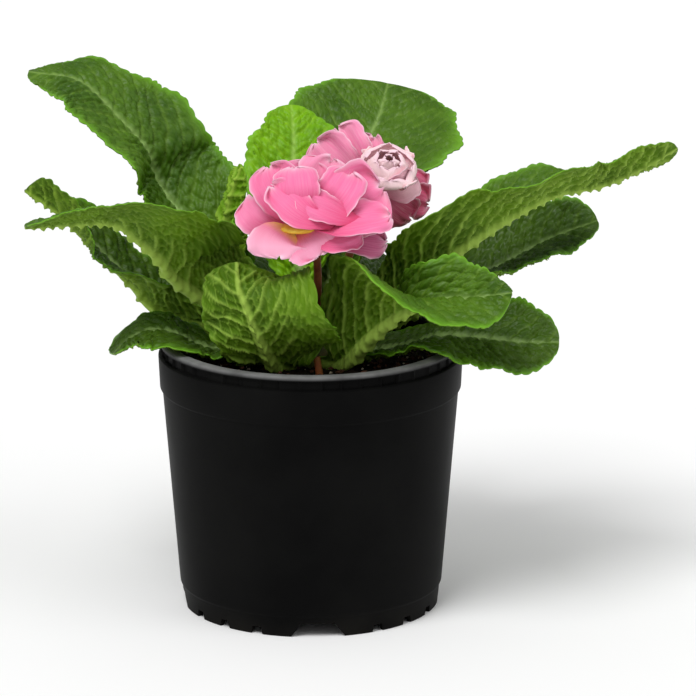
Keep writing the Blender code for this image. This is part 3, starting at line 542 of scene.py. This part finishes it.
def rib_shape(along, across, length):
    """Groove of the middle rib on the upper face, its thickness below, and how strongly it shows."""
    place = along / length
    broad = RIB_WIDTH[0] * (1 - place) ** 0.8 + RIB_WIDTH[1]
    deep = RIB_DEPTH[0] * (1 - place) ** 0.7 + RIB_DEPTH[1]
    bump = unit(1 - (across / broad) ** 2) ** 0.5
    groove = np.exp(-(across / (0.75 * broad)) ** 2)
    return RIB_GROOVE * groove * (0.4 + 0.6 * (1 - place)), deep * bump, groove


def grid_normals(grid):
    normal = np.cross(np.gradient(grid, axis=0), np.gradient(grid, axis=1))
    return normal / np.maximum(np.linalg.norm(normal, axis=2), 1e-9)[..., None]


def shell(name, upper, under, marks):
    """A closed body between two grids of points, with number attributes for its materials."""
    rows, columns = upper.shape[:2]
    count = rows * columns
    points = np.concatenate([upper.reshape(-1, 3), under.reshape(-1, 3)])
    index = np.arange(count).reshape(rows, columns)
    a, b, c, d = index[:-1, :-1], index[1:, :-1], index[1:, 1:], index[:-1, 1:]
    top = np.stack([a, b, c, d], -1).reshape(-1, 4)
    bottom = np.stack([d, c, b, a], -1).reshape(-1, 4) + count
    rim = np.concatenate([index[:, 0], index[-1, 1:], index[-2::-1, -1], index[0, -2:0:-1]])
    after = np.roll(rim, -1)
    wall = np.stack([after, rim, rim + count, after + count], -1)
    faces = np.concatenate([top, bottom, wall])
    mesh = bpy.data.meshes.new(name)
    mesh.vertices.add(len(points))
    mesh.vertices.foreach_set("co", (points * MM + AXIS).astype(np.float32).ravel())
    mesh.loops.add(faces.size)
    mesh.loops.foreach_set("vertex_index", faces.astype(np.int32).ravel())
    mesh.polygons.add(len(faces))
    mesh.polygons.foreach_set("loop_start", np.arange(0, faces.size, 4, dtype=np.int32))
    mesh.update(calc_edges=True)
    mesh.validate()
    mesh.polygons.foreach_set("use_smooth", np.ones(len(faces), dtype=bool))
    for mark, (high, low) in marks.items():
        layer = mesh.attributes.new(mark, "FLOAT", "POINT")
        layer.data.foreach_set("value", np.concatenate([high.ravel(), low.ravel()]).astype(np.float32))
    made = bpy.data.objects.new(name, mesh)
    bpy.context.scene.collection.objects.link(made)
    return made


def join(name, parts):
    """One object from several, which keeps their attributes."""
    bpy.ops.object.select_all(action="DESELECT")
    for part in parts:
        part.select_set(True)
    bpy.context.view_layer.objects.active = parts[0]
    bpy.ops.object.join()
    parts[0].name = name
    return parts[0]


def build_leaf(name, shape, seed):
    """A leaf: its middle surface made thick, with the relief of its veins, net and rib."""
    length = even_spine(shape["spine"])[3]
    rows = np.linspace(0, 1, int(length / LEAF_STEP) + 1)
    rows = 1 - (1 - rows) ** ROW_CROWDING
    rows[-1] = LAST_ROW
    half_columns = int(max(shape["left"], shape["right"]) / LEAF_STEP) + 1
    columns = np.linspace(-1, 1, 2 * half_columns + 1)
    grid, across, length = leaf_sheet(shape, rows, columns)
    normal = grid_normals(grid)
    along = np.broadcast_to((rows * length)[:, None], across.shape)
    half = np.broadcast_to(np.abs(across[:, [0]]), across.shape)
    height, vein = leaf_relief(along, across, half, seed)
    groove, rib, rib_mark = rib_shape(along, across, length)
    out = np.broadcast_to(np.abs(columns)[None, :], across.shape)
    calm = np.clip((1 - out) * 8, 0.25, 1) * unit((1 - rows[:, None]) * 20)
    calm = calm * unit(along / 12)
    thick = EDGE_THICK + (LEAF_THICK - EDGE_THICK) * unit((1 - out) * 5)
    relief = height * calm
    upper = grid + normal * (thick / 2 + relief - groove * calm)[..., None]
    raised = VEIN_RAISED * vein * calm
    under = grid - normal * (thick / 2 - relief + raised + rib)[..., None]
    shown = np.maximum(vein, rib_mark)
    one, zero = np.ones_like(across), np.zeros_like(across)
    marks = {"vein": (shown, shown), "under": (zero, one), "along": (along / length, along / length),
             "edge": (out.copy(), out.copy()), "rib": (rib_mark, unit(rib))}
    return shell("piece_" + name, upper, under, marks)


def petal_sheet(shape, rows, columns):
    """Middle surface of a petal as a grid of points: a narrow claw that spreads to a broad ruffled end."""
    places, line, ahead = even_spine(shape["spine"])[:3]
    half = shape["half"]
    face = np.array(shape["face"], float)
    facing = face - (ahead @ face)[:, None] * ahead
    facing /= np.linalg.norm(facing, axis=1)[:, None]
    side = np.cross(facing, ahead)
    line, side, facing, tip_ahead = (at_rows(rows, places, values) for values in (line, side, facing, ahead))
    rise = unit((rows - 0.05) / 0.6)
    rise = CLAW_SHARE + (1 - CLAW_SHARE) * (rise * rise * (3 - 2 * rise)) ** 0.7
    fall = (1 - TIP_LOSS * unit((rows - PETAL_WIDEST) / (1 - PETAL_WIDEST)) ** 5.0) ** 0.5
    width = half * np.where(rows < PETAL_WIDEST, rise, fall)
    cup = np.radians(shape["cup"]) * 2.0 * rows * PETAL_CUP_EASE
    cup = np.where(np.abs(cup) < SMALL_ANGLE, SMALL_ANGLE, cup)
    grid = np.zeros((len(rows), len(columns), 3))
    for index, column in enumerate(columns):
        out = abs(column)
        reach = np.sign(column) * np.sin(cup * out) / cup * width
        lift = (1 - np.cos(cup * out)) / cup * width
        ruffle = rows ** 1.5 * out ** 1.3 * np.sin(2 * np.pi * (1.1 * rows + 1.3 * column) + half)
        fine = 0.55 * rows ** 3 * np.sin(6.5 * column + 3 * half)
        fine += 0.30 * rows ** 4 * np.sin(15.0 * column + 5 * half)
        fine += 0.55 * out ** 3 * np.sin(13.0 * rows + 2 * half + 3 * np.sign(column))
        lift = lift + shape["ruffle"] * (ruffle + fine)
        notch = TIP_NOTCH[0] * np.exp(-((column - TIP_NOTCH[1]) / TIP_NOTCH[2]) ** 2)
        notch += SCALLOP[0] * abs(np.sin(SCALLOP[1] * column + half)) ** 0.6
        notch += 0.2 * np.sin(23 * column + half)
        back = tip_ahead * (-notch * min(shape["ruffle"], FRILL_MOST) * rows ** 6)[:, None]
        edge = 0.5 * np.sin(15.0 * rows + 4 * half) + 0.22 * np.sin(43.0 * rows + column)
        reach = reach + np.sign(column) * (edge * rows * out ** 4)
        grid[:, index] = line + side * reach[:, None] + facing * lift[:, None] + back
    return grid


def rosette():
    """Petals of the rosette, each rooted near the axis, bellied out and drawn in a little at the mouth."""
    axis = np.array(ROSETTE_AXIS) / np.linalg.norm(ROSETTE_AXIS)
    across = np.cross(axis, [0.0, 0.0, 1.0])
    across /= np.linalg.norm(across)
    rise = np.cross(across, axis)
    petals = []
    for count, belly, mouth, half, turn, height in ROSETTE_RINGS:
        for index in range(count):
            angle = 2.0 * math.pi * (index + turn) / count
            out = math.cos(angle) * across + math.sin(angle) * rise
            root = ROSETTE_CENTRE - ROSETTE_ROOT * axis + out
            middle = ROSETTE_CENTRE + belly * out
            tip = ROSETTE_CENTRE + height * axis + mouth * out
            wide = half + ROSETTE_WIDENING * index
            petals.append(petal([root, middle, tip], wide, -out, ROSETTE_CUP, ROSETTE_RUFFLE))
    return petals


def build_petals(name, petals, pale):
    """The petals of a bloom as one piece. `pale` says how pale each one is."""
    parts = []
    rows = 1 - (1 - np.linspace(0, 1, PETAL_ROWS + 1)) ** PETAL_ROW_CROWDING
    rows[-1] = LAST_ROW
    turns = np.linspace(-1, 1, PETAL_COLUMNS + 1) * math.pi / 2 * PETAL_EDGE_CROWDING
    columns = np.sin(turns) / math.sin(math.pi / 2 * PETAL_EDGE_CROWDING)
    for index, shape in enumerate(petals):
        grid = petal_sheet(shape, rows, columns)
        normal = grid_normals(grid)
        out = np.broadcast_to(np.abs(columns)[None, :], grid.shape[:2])
        along = np.broadcast_to(rows[:, None], out.shape)
        edge = np.maximum(out ** 2 * unit(along * 2), unit((along - 0.6) / 0.4))
        ridge = STREAK_TALL * np.sin(out * 40 * (0.6 + 0.4 * along)) * unit(along * 2)
        thick = PETAL_THICK * (1 - PETAL_THIN_EDGE * edge)
        upper = grid + normal * (thick / 2 + ridge)[..., None]
        under = grid - normal * (thick / 2 - ridge)[..., None]
        tone = np.full(out.shape, pale[index])
        across = np.broadcast_to(columns[None, :], out.shape)
        back = np.ones_like(out)
        marks = {"edge": (edge, edge), "along": (along, along), "across": (across, across),
                 "tone": (tone, tone), "back": (0 * back, back)}
        parts.append(shell("petal", upper, under, marks))
    return join(name, parts)


def ring_faces(rings, sides):
    """Four-sided faces between rings of points, each ring closed on itself."""
    faces = []
    for index in range(rings - 1):
        for side in range(sides):
            after = (side + 1) % sides
            low, high = index * sides, (index + 1) * sides
            faces.append((low + side, low + after, high + after, high + side))
    return faces


def capped_faces(rings, sides):
    """Faces of a closed body of rings: its sides and its two ends."""
    faces = ring_faces(rings, sides)
    faces.append(tuple(range(sides)))
    faces.append(tuple((rings - 1) * sides + side for side in range(sides)))
    return faces


def turned_body(name, rows, sides):
    """A closed body turned about the pot's axis; a row is (radius, height) or a list of such, one a side."""
    points = []
    for row in rows:
        for side in range(sides):
            angle = 2.0 * math.pi * side / sides
            radius, height = row[side] if isinstance(row, list) else row
            points.append((radius * math.cos(angle), radius * math.sin(angle), height))
    faces = ring_faces(len(rows), sides)
    faces.append(tuple(reversed(range(sides))))
    faces.append(tuple((len(rows) - 1) * sides + side for side in range(sides)))
    return mesh_object(name, points, faces)


def mesh_object(name, points, faces):
    """An object from points measured from the pot's axis, with its faces turned outward."""
    mesh = bpy.data.meshes.new(name)
    mesh.from_pydata([tuple(np.array(point) * MM + AXIS) for point in points], [], faces)
    shape = bmesh.new()
    shape.from_mesh(mesh)
    bmesh.ops.recalc_face_normals(shape, faces=shape.faces)
    shape.to_mesh(mesh)
    shape.free()
    made = bpy.data.objects.new(name, mesh)
    bpy.context.scene.collection.objects.link(made)
    return made


def tube(name, line, radii):
    """A closed round bar along a smooth line, with a radius at each of its points."""
    count = TUBE_STEPS * (len(line) - 1) + 1
    ridge_tall, ridges, twist = TUBE_RIDGES
    places = np.linspace(0, 1, count)
    middle = smooth_line(line, places)
    thick = np.maximum(smooth_line(radii, places), TUBE_LEAST)
    ahead = np.gradient(middle, axis=0)
    ahead /= np.linalg.norm(ahead, axis=1)[:, None]
    across = np.cross(ahead, [0.0, 1.0, 0.0])
    across /= np.linalg.norm(across, axis=1)[:, None]
    other = np.cross(ahead, across)
    points = []
    for index in range(count):
        for side in range(TUBE_SIDES):
            angle = 2.0 * math.pi * side / TUBE_SIDES
            spoke = math.cos(angle) * across[index] + math.sin(angle) * other[index]
            ridge = 1 + ridge_tall * math.sin(ridges * angle + index * twist)
            points.append(middle[index] + spoke * thick[index] * ridge)
    made = mesh_object(name, points, capped_faces(count, TUBE_SIDES))
    smooth(made)
    return made


def smooth(thing, degrees=40.0):
    """Smooth shading with sharp edges kept where the surface turns by more than the angle."""
    mesh = thing.data
    mesh.polygons.foreach_set("use_smooth", np.ones(len(mesh.polygons), dtype=bool))
    mesh.set_sharp_from_angle(angle=math.radians(degrees))


def subtract(target, cutters):
    """Cut the cutters out of the target and remove them."""
    group = bpy.data.collections.new("cutters")
    for cutter in cutters:
        group.objects.link(cutter)
    step = target.modifiers.new("cut", "BOOLEAN")
    step.operation = "DIFFERENCE"
    step.solver = "EXACT"
    step.operand_type = "COLLECTION"
    step.collection = group
    bpy.context.view_layer.update()
    graph = bpy.context.evaluated_depsgraph_get()
    result = bpy.data.meshes.new_from_object(target.evaluated_get(graph))
    target.modifiers.clear()
    target.data = result
    for cutter in cutters:
        bpy.data.objects.remove(cutter, do_unlink=True)
    bpy.data.collections.remove(group)


def notch(degrees, foot, top, tall):
    """A cutter for one notch of the foot, at a turn in degrees from the front."""
    points = []
    for reach in NOTCH_REACH:
        points += [(-foot / 2, -reach, BELOW_GROUND), (foot / 2, -reach, BELOW_GROUND),
                   (top / 2, -reach, tall), (-top / 2, -reach, tall)]
    turn = math.radians(degrees)
    points = [(x * math.cos(turn) - y * math.sin(turn), x * math.sin(turn) + y * math.cos(turn), z)
              for x, y, z in points]
    faces = [(0, 1, 2, 3), (4, 5, 6, 7), (0, 1, 5, 4), (1, 2, 6, 5), (2, 3, 7, 6), (3, 0, 4, 7)]
    return mesh_object("notch", points, faces)


def drain(x, y):
    """A cutter for one drain hole in the pot's floor."""
    angles = np.linspace(0, 2 * math.pi, DRAIN_SIDES, endpoint=False)
    points = [(x + DRAIN_RADIUS * math.cos(angle), y + DRAIN_RADIUS * math.sin(angle), height)
              for height in DRAIN_HEIGHTS for angle in angles]
    return mesh_object("drain", points, capped_faces(len(DRAIN_HEIGHTS), DRAIN_SIDES))


def build_pot():
    """The pot: a turned wall with a ledge of blocks, a hollow foot, its notches and drain holes."""
    ledge = []
    for radius, height in POT_LEDGE:
        ring = []
        for side in range(POT_SIDES):
            block = side * LEDGE_BLOCKS / POT_SIDES
            inside = block - math.floor(block)
            tone = scatter(np.array([math.floor(block), 1.0]), 2.0)
            share = LEDGE_LEAST_SHARE + (1 - LEDGE_LEAST_SHARE) * tone
            step = LEDGE_BLOCK_STEP * share if inside > LEDGE_GAP_SHARE else 0.0
            ring.append((radius - step, height))
        ledge.append(ring)
    pot = turned_body("piece_pot", POT_OUTSIDE + ledge + POT_LIP + POT_INSIDE, POT_SIDES)
    hollow = [(FOOT_INSIDE, BELOW_GROUND), (FOOT_INSIDE, POT_FLOOR_UNDER)]
    cutters = [turned_body("hollow", hollow, FOOT_SIDES)]
    for quarter in range(QUARTERS):
        middle = NOTCH_TURN + 90.0 * quarter
        cutters.append(notch(middle, *WIDE_NOTCH))
        cutters += [notch(middle + turn, *SMALL_NOTCH) for turn in SMALL_NOTCH_TURNS]
        angle = math.radians(middle - 90.0)
        cutters.append(drain(DRAIN_RING * math.cos(angle), DRAIN_RING * math.sin(angle)))
    cutters.append(drain(0.0, 0.0))
    subtract(pot, cutters)
    smooth(pot, 35.0)
    return pot


def build_soil():
    """Clumpy soil surface: a disc of cells whose heights come from several sizes of scattered clods."""
    radii = SOIL_RADIUS * np.linspace(0, 1, SOIL_RINGS + 1)[1:]
    angles = np.linspace(0, 2 * math.pi, SOIL_SIDES, endpoint=False)
    x = radii[:, None] * np.cos(angles)[None, :]
    y = radii[:, None] * np.sin(angles)[None, :]
    height = np.full(x.shape, SOIL_TOP - SOIL_SINK)
    for size, tall, seed in CLODS:
        near = cell_net(x / size, y / size, seed)[0]
        height += tall * (unit(1 - near * 1.1) - CLOD_MIDDLE)
    points = [tuple(point) for point in np.stack([x, y, height], -1).reshape(-1, 3)]
    points.append((0.0, 0.0, SOIL_TOP))
    base = len(points)
    points += [(SOIL_RADIUS * math.cos(a), SOIL_RADIUS * math.sin(a), SOIL_TOP - SOIL_DEPTH)
               for a in angles]
    faces = ring_faces(SOIL_RINGS, SOIL_SIDES)
    last = (SOIL_RINGS - 1) * SOIL_SIDES
    for side in range(SOIL_SIDES):
        after = (side + 1) % SOIL_SIDES
        faces.append((base - 1, after, side))
        faces.append((last + side, last + after, base + after, base + side))
    faces.append(tuple(base + side for side in reversed(range(SOIL_SIDES))))
    soil = mesh_object("piece_soil", points, faces)
    smooth(soil, 60.0)
    return soil


def grit_piece(name, count, seed, sizes):
    """Bark bits or pale grains lying on the soil, as one mesh of small rough lumps."""
    points, faces = [], []
    draw = np.random.default_rng(seed)
    for _ in range(count):
        radius = BIT_REACH * math.sqrt(draw.random())
        angle = draw.random() * 2 * math.pi
        if radius < CROWN_CLEAR:
            radius = CROWN_CLEAR + draw.random() * BIT_SPREAD
        height = SOIL_TOP + 0.5 + 0.8 * draw.random()
        centre = np.array([radius * math.cos(angle), radius * math.sin(angle), height])
        size = np.array(sizes) * (0.5 + draw.random())
        spin = Matrix.Rotation(draw.random() * BIT_TURN, 3, "Z")
        turn = spin @ Matrix.Rotation(draw.random() * BIT_TILT - BIT_TILT / 2, 3, "X")
        first = len(points)
        for corner in LUMP_POINTS:
            place = turn @ Vector(np.array(corner) * size * (0.75 + 0.5 * draw.random()))
            points.append(tuple(centre + np.array(place)))
        faces += [tuple(first + index for index in face) for face in LUMP_FACES]
    return mesh_object(name, points, faces)


def build_eye():
    """The yellow eye: a low bar of small grains, flatter than the CAD ball that it replaces."""
    tips = np.linspace(EYE_TIP_ANGLE, math.pi - EYE_TIP_ANGLE, EYE_RINGS)
    turns = np.linspace(0, 2 * math.pi, EYE_SIDES, False)
    polar, angle = np.meshgrid(tips, turns, indexing="ij")
    round_count, along_count, seed = EYE_GRAINS
    near = cell_net(angle * round_count, polar * along_count, seed)[0]
    swell = EYE_SWELL[0] + EYE_SWELL[1] * unit(1 - near * 1.3)
    points = np.stack([EYE[0] + EYE_SIZE[0] * swell * np.sin(polar) * np.cos(angle),
                       EYE[1] + EYE_SIZE[1] * swell * np.sin(polar) * np.sin(angle),
                       EYE[2] - EYE_SIZE[2] * swell * np.cos(polar)], -1).reshape(-1, 3)
    eye = mesh_object("piece_eye", points, capped_faces(EYE_RINGS, EYE_SIDES))
    smooth(eye, 70.0)
    return eye


def build_crown():
    """The rootstock: a ridged, scaly knob from which the leaves rise."""
    rows = []
    for radius, height in smooth_line(CROWN, np.linspace(0, 1, CROWN_ROWS)):
        ring = []
        for side in range(CROWN_SIDES):
            turn = 2 * math.pi * side / CROWN_SIDES
            ridge = sum(tall * math.sin(count * turn + twist * height) for tall, count, twist in CROWN_RIDGES)
            ring.append((radius - CROWN_SINK + ridge * min(radius / 6, 1), height))
        rows.append(ring)
    crown = turned_body("piece_crown", rows, CROWN_SIDES)
    smooth(crown, 60.0)
    return crown


def new_material(name):
    made = bpy.data.materials.new(name)
    made.use_nodes = True
    tree = made.node_tree
    return made, tree, tree.nodes["Principled BSDF"]


def node(tree, kind, **values):
    made = tree.nodes.new(kind)
    for key, value in values.items():
        setattr(made, key, value)
    return made


def attribute(tree, name):
    return node(tree, "ShaderNodeAttribute", attribute_name=name).outputs["Fac"]


def mix_colour(tree, factor, first, second):
    """A colour from the first at factor 0 to the second at factor 1. Each may be a value or a socket."""
    made = node(tree, "ShaderNodeMix", data_type="RGBA")
    fac, a, b = made.inputs[0], made.inputs[6], made.inputs[7]
    for socket, value in ((fac, factor), (a, first), (b, second)):
        if isinstance(value, (int, float)):
            socket.default_value = value
        elif isinstance(value, tuple):
            socket.default_value = (*value, 1.0)
        else:
            tree.links.new(value, socket)
    return made.outputs[2]


def maths(tree, operation, first, second):
    """A sum on two inputs, each a number or a socket."""
    made = node(tree, "ShaderNodeMath", operation=operation)
    for socket, value in zip(made.inputs, (first, second)):
        if isinstance(value, (int, float)):
            socket.default_value = value
        else:
            tree.links.new(value, socket)
    return made.outputs[0]


def times(tree, first, second):
    """A product of two numbers or sockets."""
    return maths(tree, "MULTIPLY", first, second)


def noise(tree, scale, detail=3.0):
    """Cloudy noise in the object's own space."""
    made = node(tree, "ShaderNodeTexNoise")
    made.inputs["Scale"].default_value = scale
    made.inputs["Detail"].default_value = detail
    made.inputs["Roughness"].default_value = NOISE_ROUGHNESS
    tree.links.new(node(tree, "ShaderNodeTexCoord").outputs["Object"], made.inputs["Vector"])
    return made.outputs["Fac"]


def ramp(tree, value, low, high):
    """0 where the value is low and 1 where it is high, in a straight line between."""
    made = node(tree, "ShaderNodeMapRange")
    made.inputs["From Min"].default_value = low
    made.inputs["From Max"].default_value = high
    tree.links.new(value, made.inputs["Value"])
    return made.outputs["Result"]


def bump(tree, shader, height, distance, strength):
    made = node(tree, "ShaderNodeBump")
    made.inputs["Strength"].default_value = strength
    made.inputs["Distance"].default_value = distance
    tree.links.new(height, made.inputs["Height"])
    tree.links.new(made.outputs["Normal"], shader.inputs["Normal"])


def leaf_material(name):
    """Leaf skin: a deep green upper face with paler veins, and a lighter matt underside with pale veins."""
    top_dark, top_light, top_vein, low_dark, low_light, low_vein = LEAF_SKINS[name]
    made, tree, shader = new_material(name)
    vein, under, edge, rib = (attribute(tree, mark) for mark in ("vein", "under", "edge", "rib"))
    patch = ramp(tree, noise(tree, LEAF_PATCHES), 0.35, 0.65)
    speck = ramp(tree, noise(tree, LEAF_SPECKS, 4.0), 0.3, 0.7)
    top = mix_colour(tree, patch, top_dark, top_light)
    top = mix_colour(tree, times(tree, speck, 0.35), top, top_light)
    top = mix_colour(tree, times(tree, maths(tree, "POWER", vein, 1.6), 0.65), top, top_vein)
    pale_rib = times(tree, rib, ramp(tree, attribute(tree, "along"), 1.15, 0.1))
    top = mix_colour(tree, pale_rib, top, PALE_RIB)
    # Painted glow: the outermost margin of the upper face turns bright yellow-green, as if lit through.
    rim = maths(tree, "POWER", edge, 14.0)
    top = mix_colour(tree, times(tree, rim, 0.8), top, PAINTED_EDGE_GLOW)
    low = mix_colour(tree, patch, low_dark, low_light)
    low = mix_colour(tree, times(tree, maths(tree, "POWER", vein, 1.4), 0.75), low, low_vein)
    low = mix_colour(tree, times(tree, rib, 0.8), low, low_vein)
    tree.links.new(mix_colour(tree, under, top, low), shader.inputs["Base Color"])
    rough = maths(tree, "ADD", times(tree, under, 0.22), 0.36)
    rough = maths(tree, "ADD", rough, times(tree, speck, 0.12))
    tree.links.new(rough, shader.inputs["Roughness"])
    shader.inputs["Specular IOR Level"].default_value = 0.2
    bump(tree, shader, noise(tree, LEAF_GRAIN), 0.00022, 0.5)
    return made


def petal_material(name):
    """Petal skin: fine lengthwise streaks, pale margins, deep colour towards the claw and a duller back."""
    made, tree, shader = new_material(name)
    mauve, middle, deep, pale, back = PETAL_SKINS[name]
    marks = [attribute(tree, mark) for mark in ("edge", "along", "across", "tone", "back")]
    edge, along, across, tone, behind = marks
    streak = node(tree, "ShaderNodeTexNoise", noise_dimensions="2D")
    place = node(tree, "ShaderNodeCombineXYZ")
    tree.links.new(times(tree, across, PETAL_STREAKS[0]), place.inputs[0])
    shift = times(tree, tone, STREAK_SHIFT)
    lengthwise = maths(tree, "ADD", times(tree, along, PETAL_STREAKS[1]), shift)
    tree.links.new(lengthwise, place.inputs[1])
    tree.links.new(place.outputs[0], streak.inputs["Vector"])
    streak.inputs["Scale"].default_value = 1.0
    streak.inputs["Detail"].default_value = 3.0
    lively = ramp(tree, streak.outputs["Fac"], 0.3, 0.7)
    face = mix_colour(tree, ramp(tree, tone, 0.0, 0.4), mauve, middle)
    face = mix_colour(tree, ramp(tree, tone, 0.5, 1.0), face, pale)
    base = mix_colour(tree, ramp(tree, along, 0.15, 0.7), deep, face)
    base = mix_colour(tree, times(tree, lively, 0.22), base, pale)
    rim = maths(tree, "POWER", edge, 9.0)
    base = mix_colour(tree, times(tree, rim, 0.85), base, PETAL_RIM)
    dull = times(tree, behind, ramp(tree, tone, 0.9, 0.4))
    base = mix_colour(tree, times(tree, dull, 0.45), base, back)
    throat = times(tree, ramp(tree, tone, 0.8, 1.0), ramp(tree, along, 0.42, 0.16))
    base = mix_colour(tree, times(tree, throat, 0.8), base, THROAT_YELLOW)
    tree.links.new(base, shader.inputs["Base Color"])
    shader.inputs["Roughness"].default_value = 0.62
    shader.inputs["Specular IOR Level"].default_value = 0.2
    shader.inputs["Sheen Weight"].default_value = 0.12
    shader.inputs["Sheen Roughness"].default_value = 0.4
    bump(tree, shader, streak.outputs["Fac"], 0.00025, 0.5)
    return made


def pot_material():
    """Satin black plastic, with a painted grey highlight on the lip and a faint dusting near the foot."""
    made, tree, shader = new_material("pot")
    height = node(tree, "ShaderNodeSeparateXYZ")
    tree.links.new(node(tree, "ShaderNodeTexCoord").outputs["Object"], height.inputs[0])
    cloud = ramp(tree, noise(tree, POT_CLOUDS, 4.0), 0.35, 0.7)
    base = mix_colour(tree, cloud, *POT_BLACKS)
    # Painted highlight: the lip is greyed between two heights, broken up by streaks.
    lip = ramp(tree, height.outputs[2], LIP_HIGHLIGHT_HEIGHTS[0] * MM, LIP_HIGHLIGHT_HEIGHTS[1] * MM)
    streak = ramp(tree, noise(tree, POT_STREAKS), 0.3, 0.75)
    lip = times(tree, lip, maths(tree, "ADD", times(tree, streak, 0.5), 0.5))
    base = mix_colour(tree, lip, base, LIP_HIGHLIGHT_GREY)
    dust = ramp(tree, height.outputs[2], DUST_TOP * MM, 0.0)
    dust = times(tree, dust, times(tree, cloud, 0.5))
    base = mix_colour(tree, dust, base, DUST)
    tree.links.new(base, shader.inputs["Base Color"])
    tree.links.new(maths(tree, "ADD", times(tree, cloud, 0.08), 0.42), shader.inputs["Roughness"])
    shader.inputs["Specular IOR Level"].default_value = 0.02
    bump(tree, shader, noise(tree, POT_GRAIN, 4.0), 0.00004, 0.6)
    return made


def plain_material(name):
    """A surface with two mottled tones and a fine grain."""
    dark, light, roughness, scale, grain, specular, depth = PLAIN_SKINS[name]
    made, tree, shader = new_material(name)
    tone = ramp(tree, noise(tree, scale), 0.3, 0.7)
    tree.links.new(mix_colour(tree, tone, dark, light), shader.inputs["Base Color"])
    rough = maths(tree, "ADD", times(tree, tone, 0.12), roughness - 0.06)
    tree.links.new(rough, shader.inputs["Roughness"])
    shader.inputs["Specular IOR Level"].default_value = specular
    bump(tree, shader, noise(tree, grain, 4.0), depth, 0.6)
    return made


def dress(thing, material, slot, *nodes):
    """Give a piece its material and body, and hide the CAD nodes that it replaces; the slot is not used."""
    thing.data.materials.clear()
    thing.data.materials.append(material)
    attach(thing, "root")
    if nodes:
        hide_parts(*nodes)


def add_camera():
    """The camera at the photo's viewing angle, moved so that the pot stands where the photo has it."""
    lean = math.radians(CAMERA_ELEVATION)
    forward = np.array([0.0, math.cos(lean), -math.sin(lean)])
    right = np.array([1.0, 0.0, 0.0])
    up = np.array([0.0, math.sin(lean), math.cos(lean)])
    middle = IMAGE_SIDE / 2
    place = -forward * CAMERA_DISTANCE
    place = place + right * (middle - GROUND_PIXEL[0]) / PIXELS_PER_MM
    place = place - up * (middle - GROUND_PIXEL[1]) / PIXELS_PER_MM
    data = bpy.data.cameras.new("camera")
    data.sensor_width = SENSOR
    data.lens = SENSOR * PIXELS_PER_MM * CAMERA_DISTANCE / IMAGE_SIDE
    data.clip_end = FARTHEST_SEEN
    camera = bpy.data.objects.new("camera", data)
    camera.location = Vector(place * MM + AXIS)
    camera.rotation_euler = Vector(forward).to_track_quat("-Z", "Y").to_euler()
    bpy.context.scene.collection.objects.link(camera)
    bpy.context.scene.camera = camera


def add_sun(name, direction, strength, spread):
    """A soft far light that shines from the direction; spread is its width in degrees."""
    data = bpy.data.lights.new(name, "SUN")
    data.energy = strength
    data.angle = math.radians(spread)
    light = bpy.data.objects.new(name, data)
    light.rotation_euler = Vector(direction).to_track_quat("Z", "Y").to_euler()
    bpy.context.scene.collection.objects.link(light)


def add_stage():
    """A pale floor, an even sky and the suns."""
    bpy.ops.mesh.primitive_plane_add(size=FLOOR_SIDE, location=(0.0, 0.0, 0.0))
    floor = bpy.context.active_object
    floor.name = "floor"
    made, _, shader = new_material("floor")
    shader.inputs["Base Color"].default_value = FLOOR_TONE
    shader.inputs["Roughness"].default_value = FLOOR_ROUGHNESS
    floor.data.materials.append(made)
    world = bpy.data.worlds.new("studio")
    world.use_nodes = True
    sky = world.node_tree.nodes["Background"]
    sky.inputs["Color"].default_value = SKY_TONE
    sky.inputs["Strength"].default_value = SKY_STRENGTH
    bpy.context.scene.world = world
    bpy.context.scene.view_settings.view_transform = "Standard"
    for name, direction, strength, spread in SUNS:
        add_sun(name, direction, strength, spread)


def build_leaves():
    """Every leaf in its skin: the young leaves lighter, and the low leaves in a darker copy that is painted
    shade.
    """
    skins = {name: leaf_material(name) for name in LEAF_SKINS}
    for index, (name, shape) in enumerate(LEAVES.items()):
        piece = build_leaf(name, shape, 1.0 + index)
        if name in YOUNG_LEAVES:
            dress(piece, skins["young_leaf"], "young_leaf", name)
        else:
            dress(piece, skins["shaded_low_leaf" if name in SHADED_LOW_LEAVES else "leaf"], "leaf", name)


def build_blooms():
    """The two blooms and the eye of the front one."""
    front = petal_material("petal")
    back = petal_material("petal_pale")
    dress(build_petals("piece_bloom_front", FRONT_PETALS, FRONT_PALE), front, "petal", "bloom_front_petals")
    heart = rosette()
    behind = build_petals("piece_bloom_back", BACK_PETALS + heart, BACK_PALE + [ROSETTE_PALE] * len(heart))
    dress(behind, back, "petal_pale", "bloom_back_petals")
    dress(build_eye(), plain_material("eye"), "eye", "bloom_front_eye")


def build_rest():
    """The pot, the soil and what lies on it, the stalks, the bud, the stub and the crown."""
    dress(build_pot(), pot_material(), "pot", "pot")
    dress(build_soil(), plain_material("soil"), "soil", "soil")
    dress(grit_piece("piece_bark", *BARK_BITS), plain_material("bark"), "soil")
    dress(grit_piece("piece_grain", *PALE_GRAINS), plain_material("grain"), "soil")
    skins = {name: plain_material(name) for name in ("stalk", "bud", "stub")}
    for name, line, radii, skin, slot, replaced in TUBES:
        dress(tube(name, line, radii), skins[skin], slot, replaced)
    dress(build_crown(), plain_material("crown"), "crown", "crown")


add_camera()
add_stage()
build_rest()
build_leaves()
build_blooms()
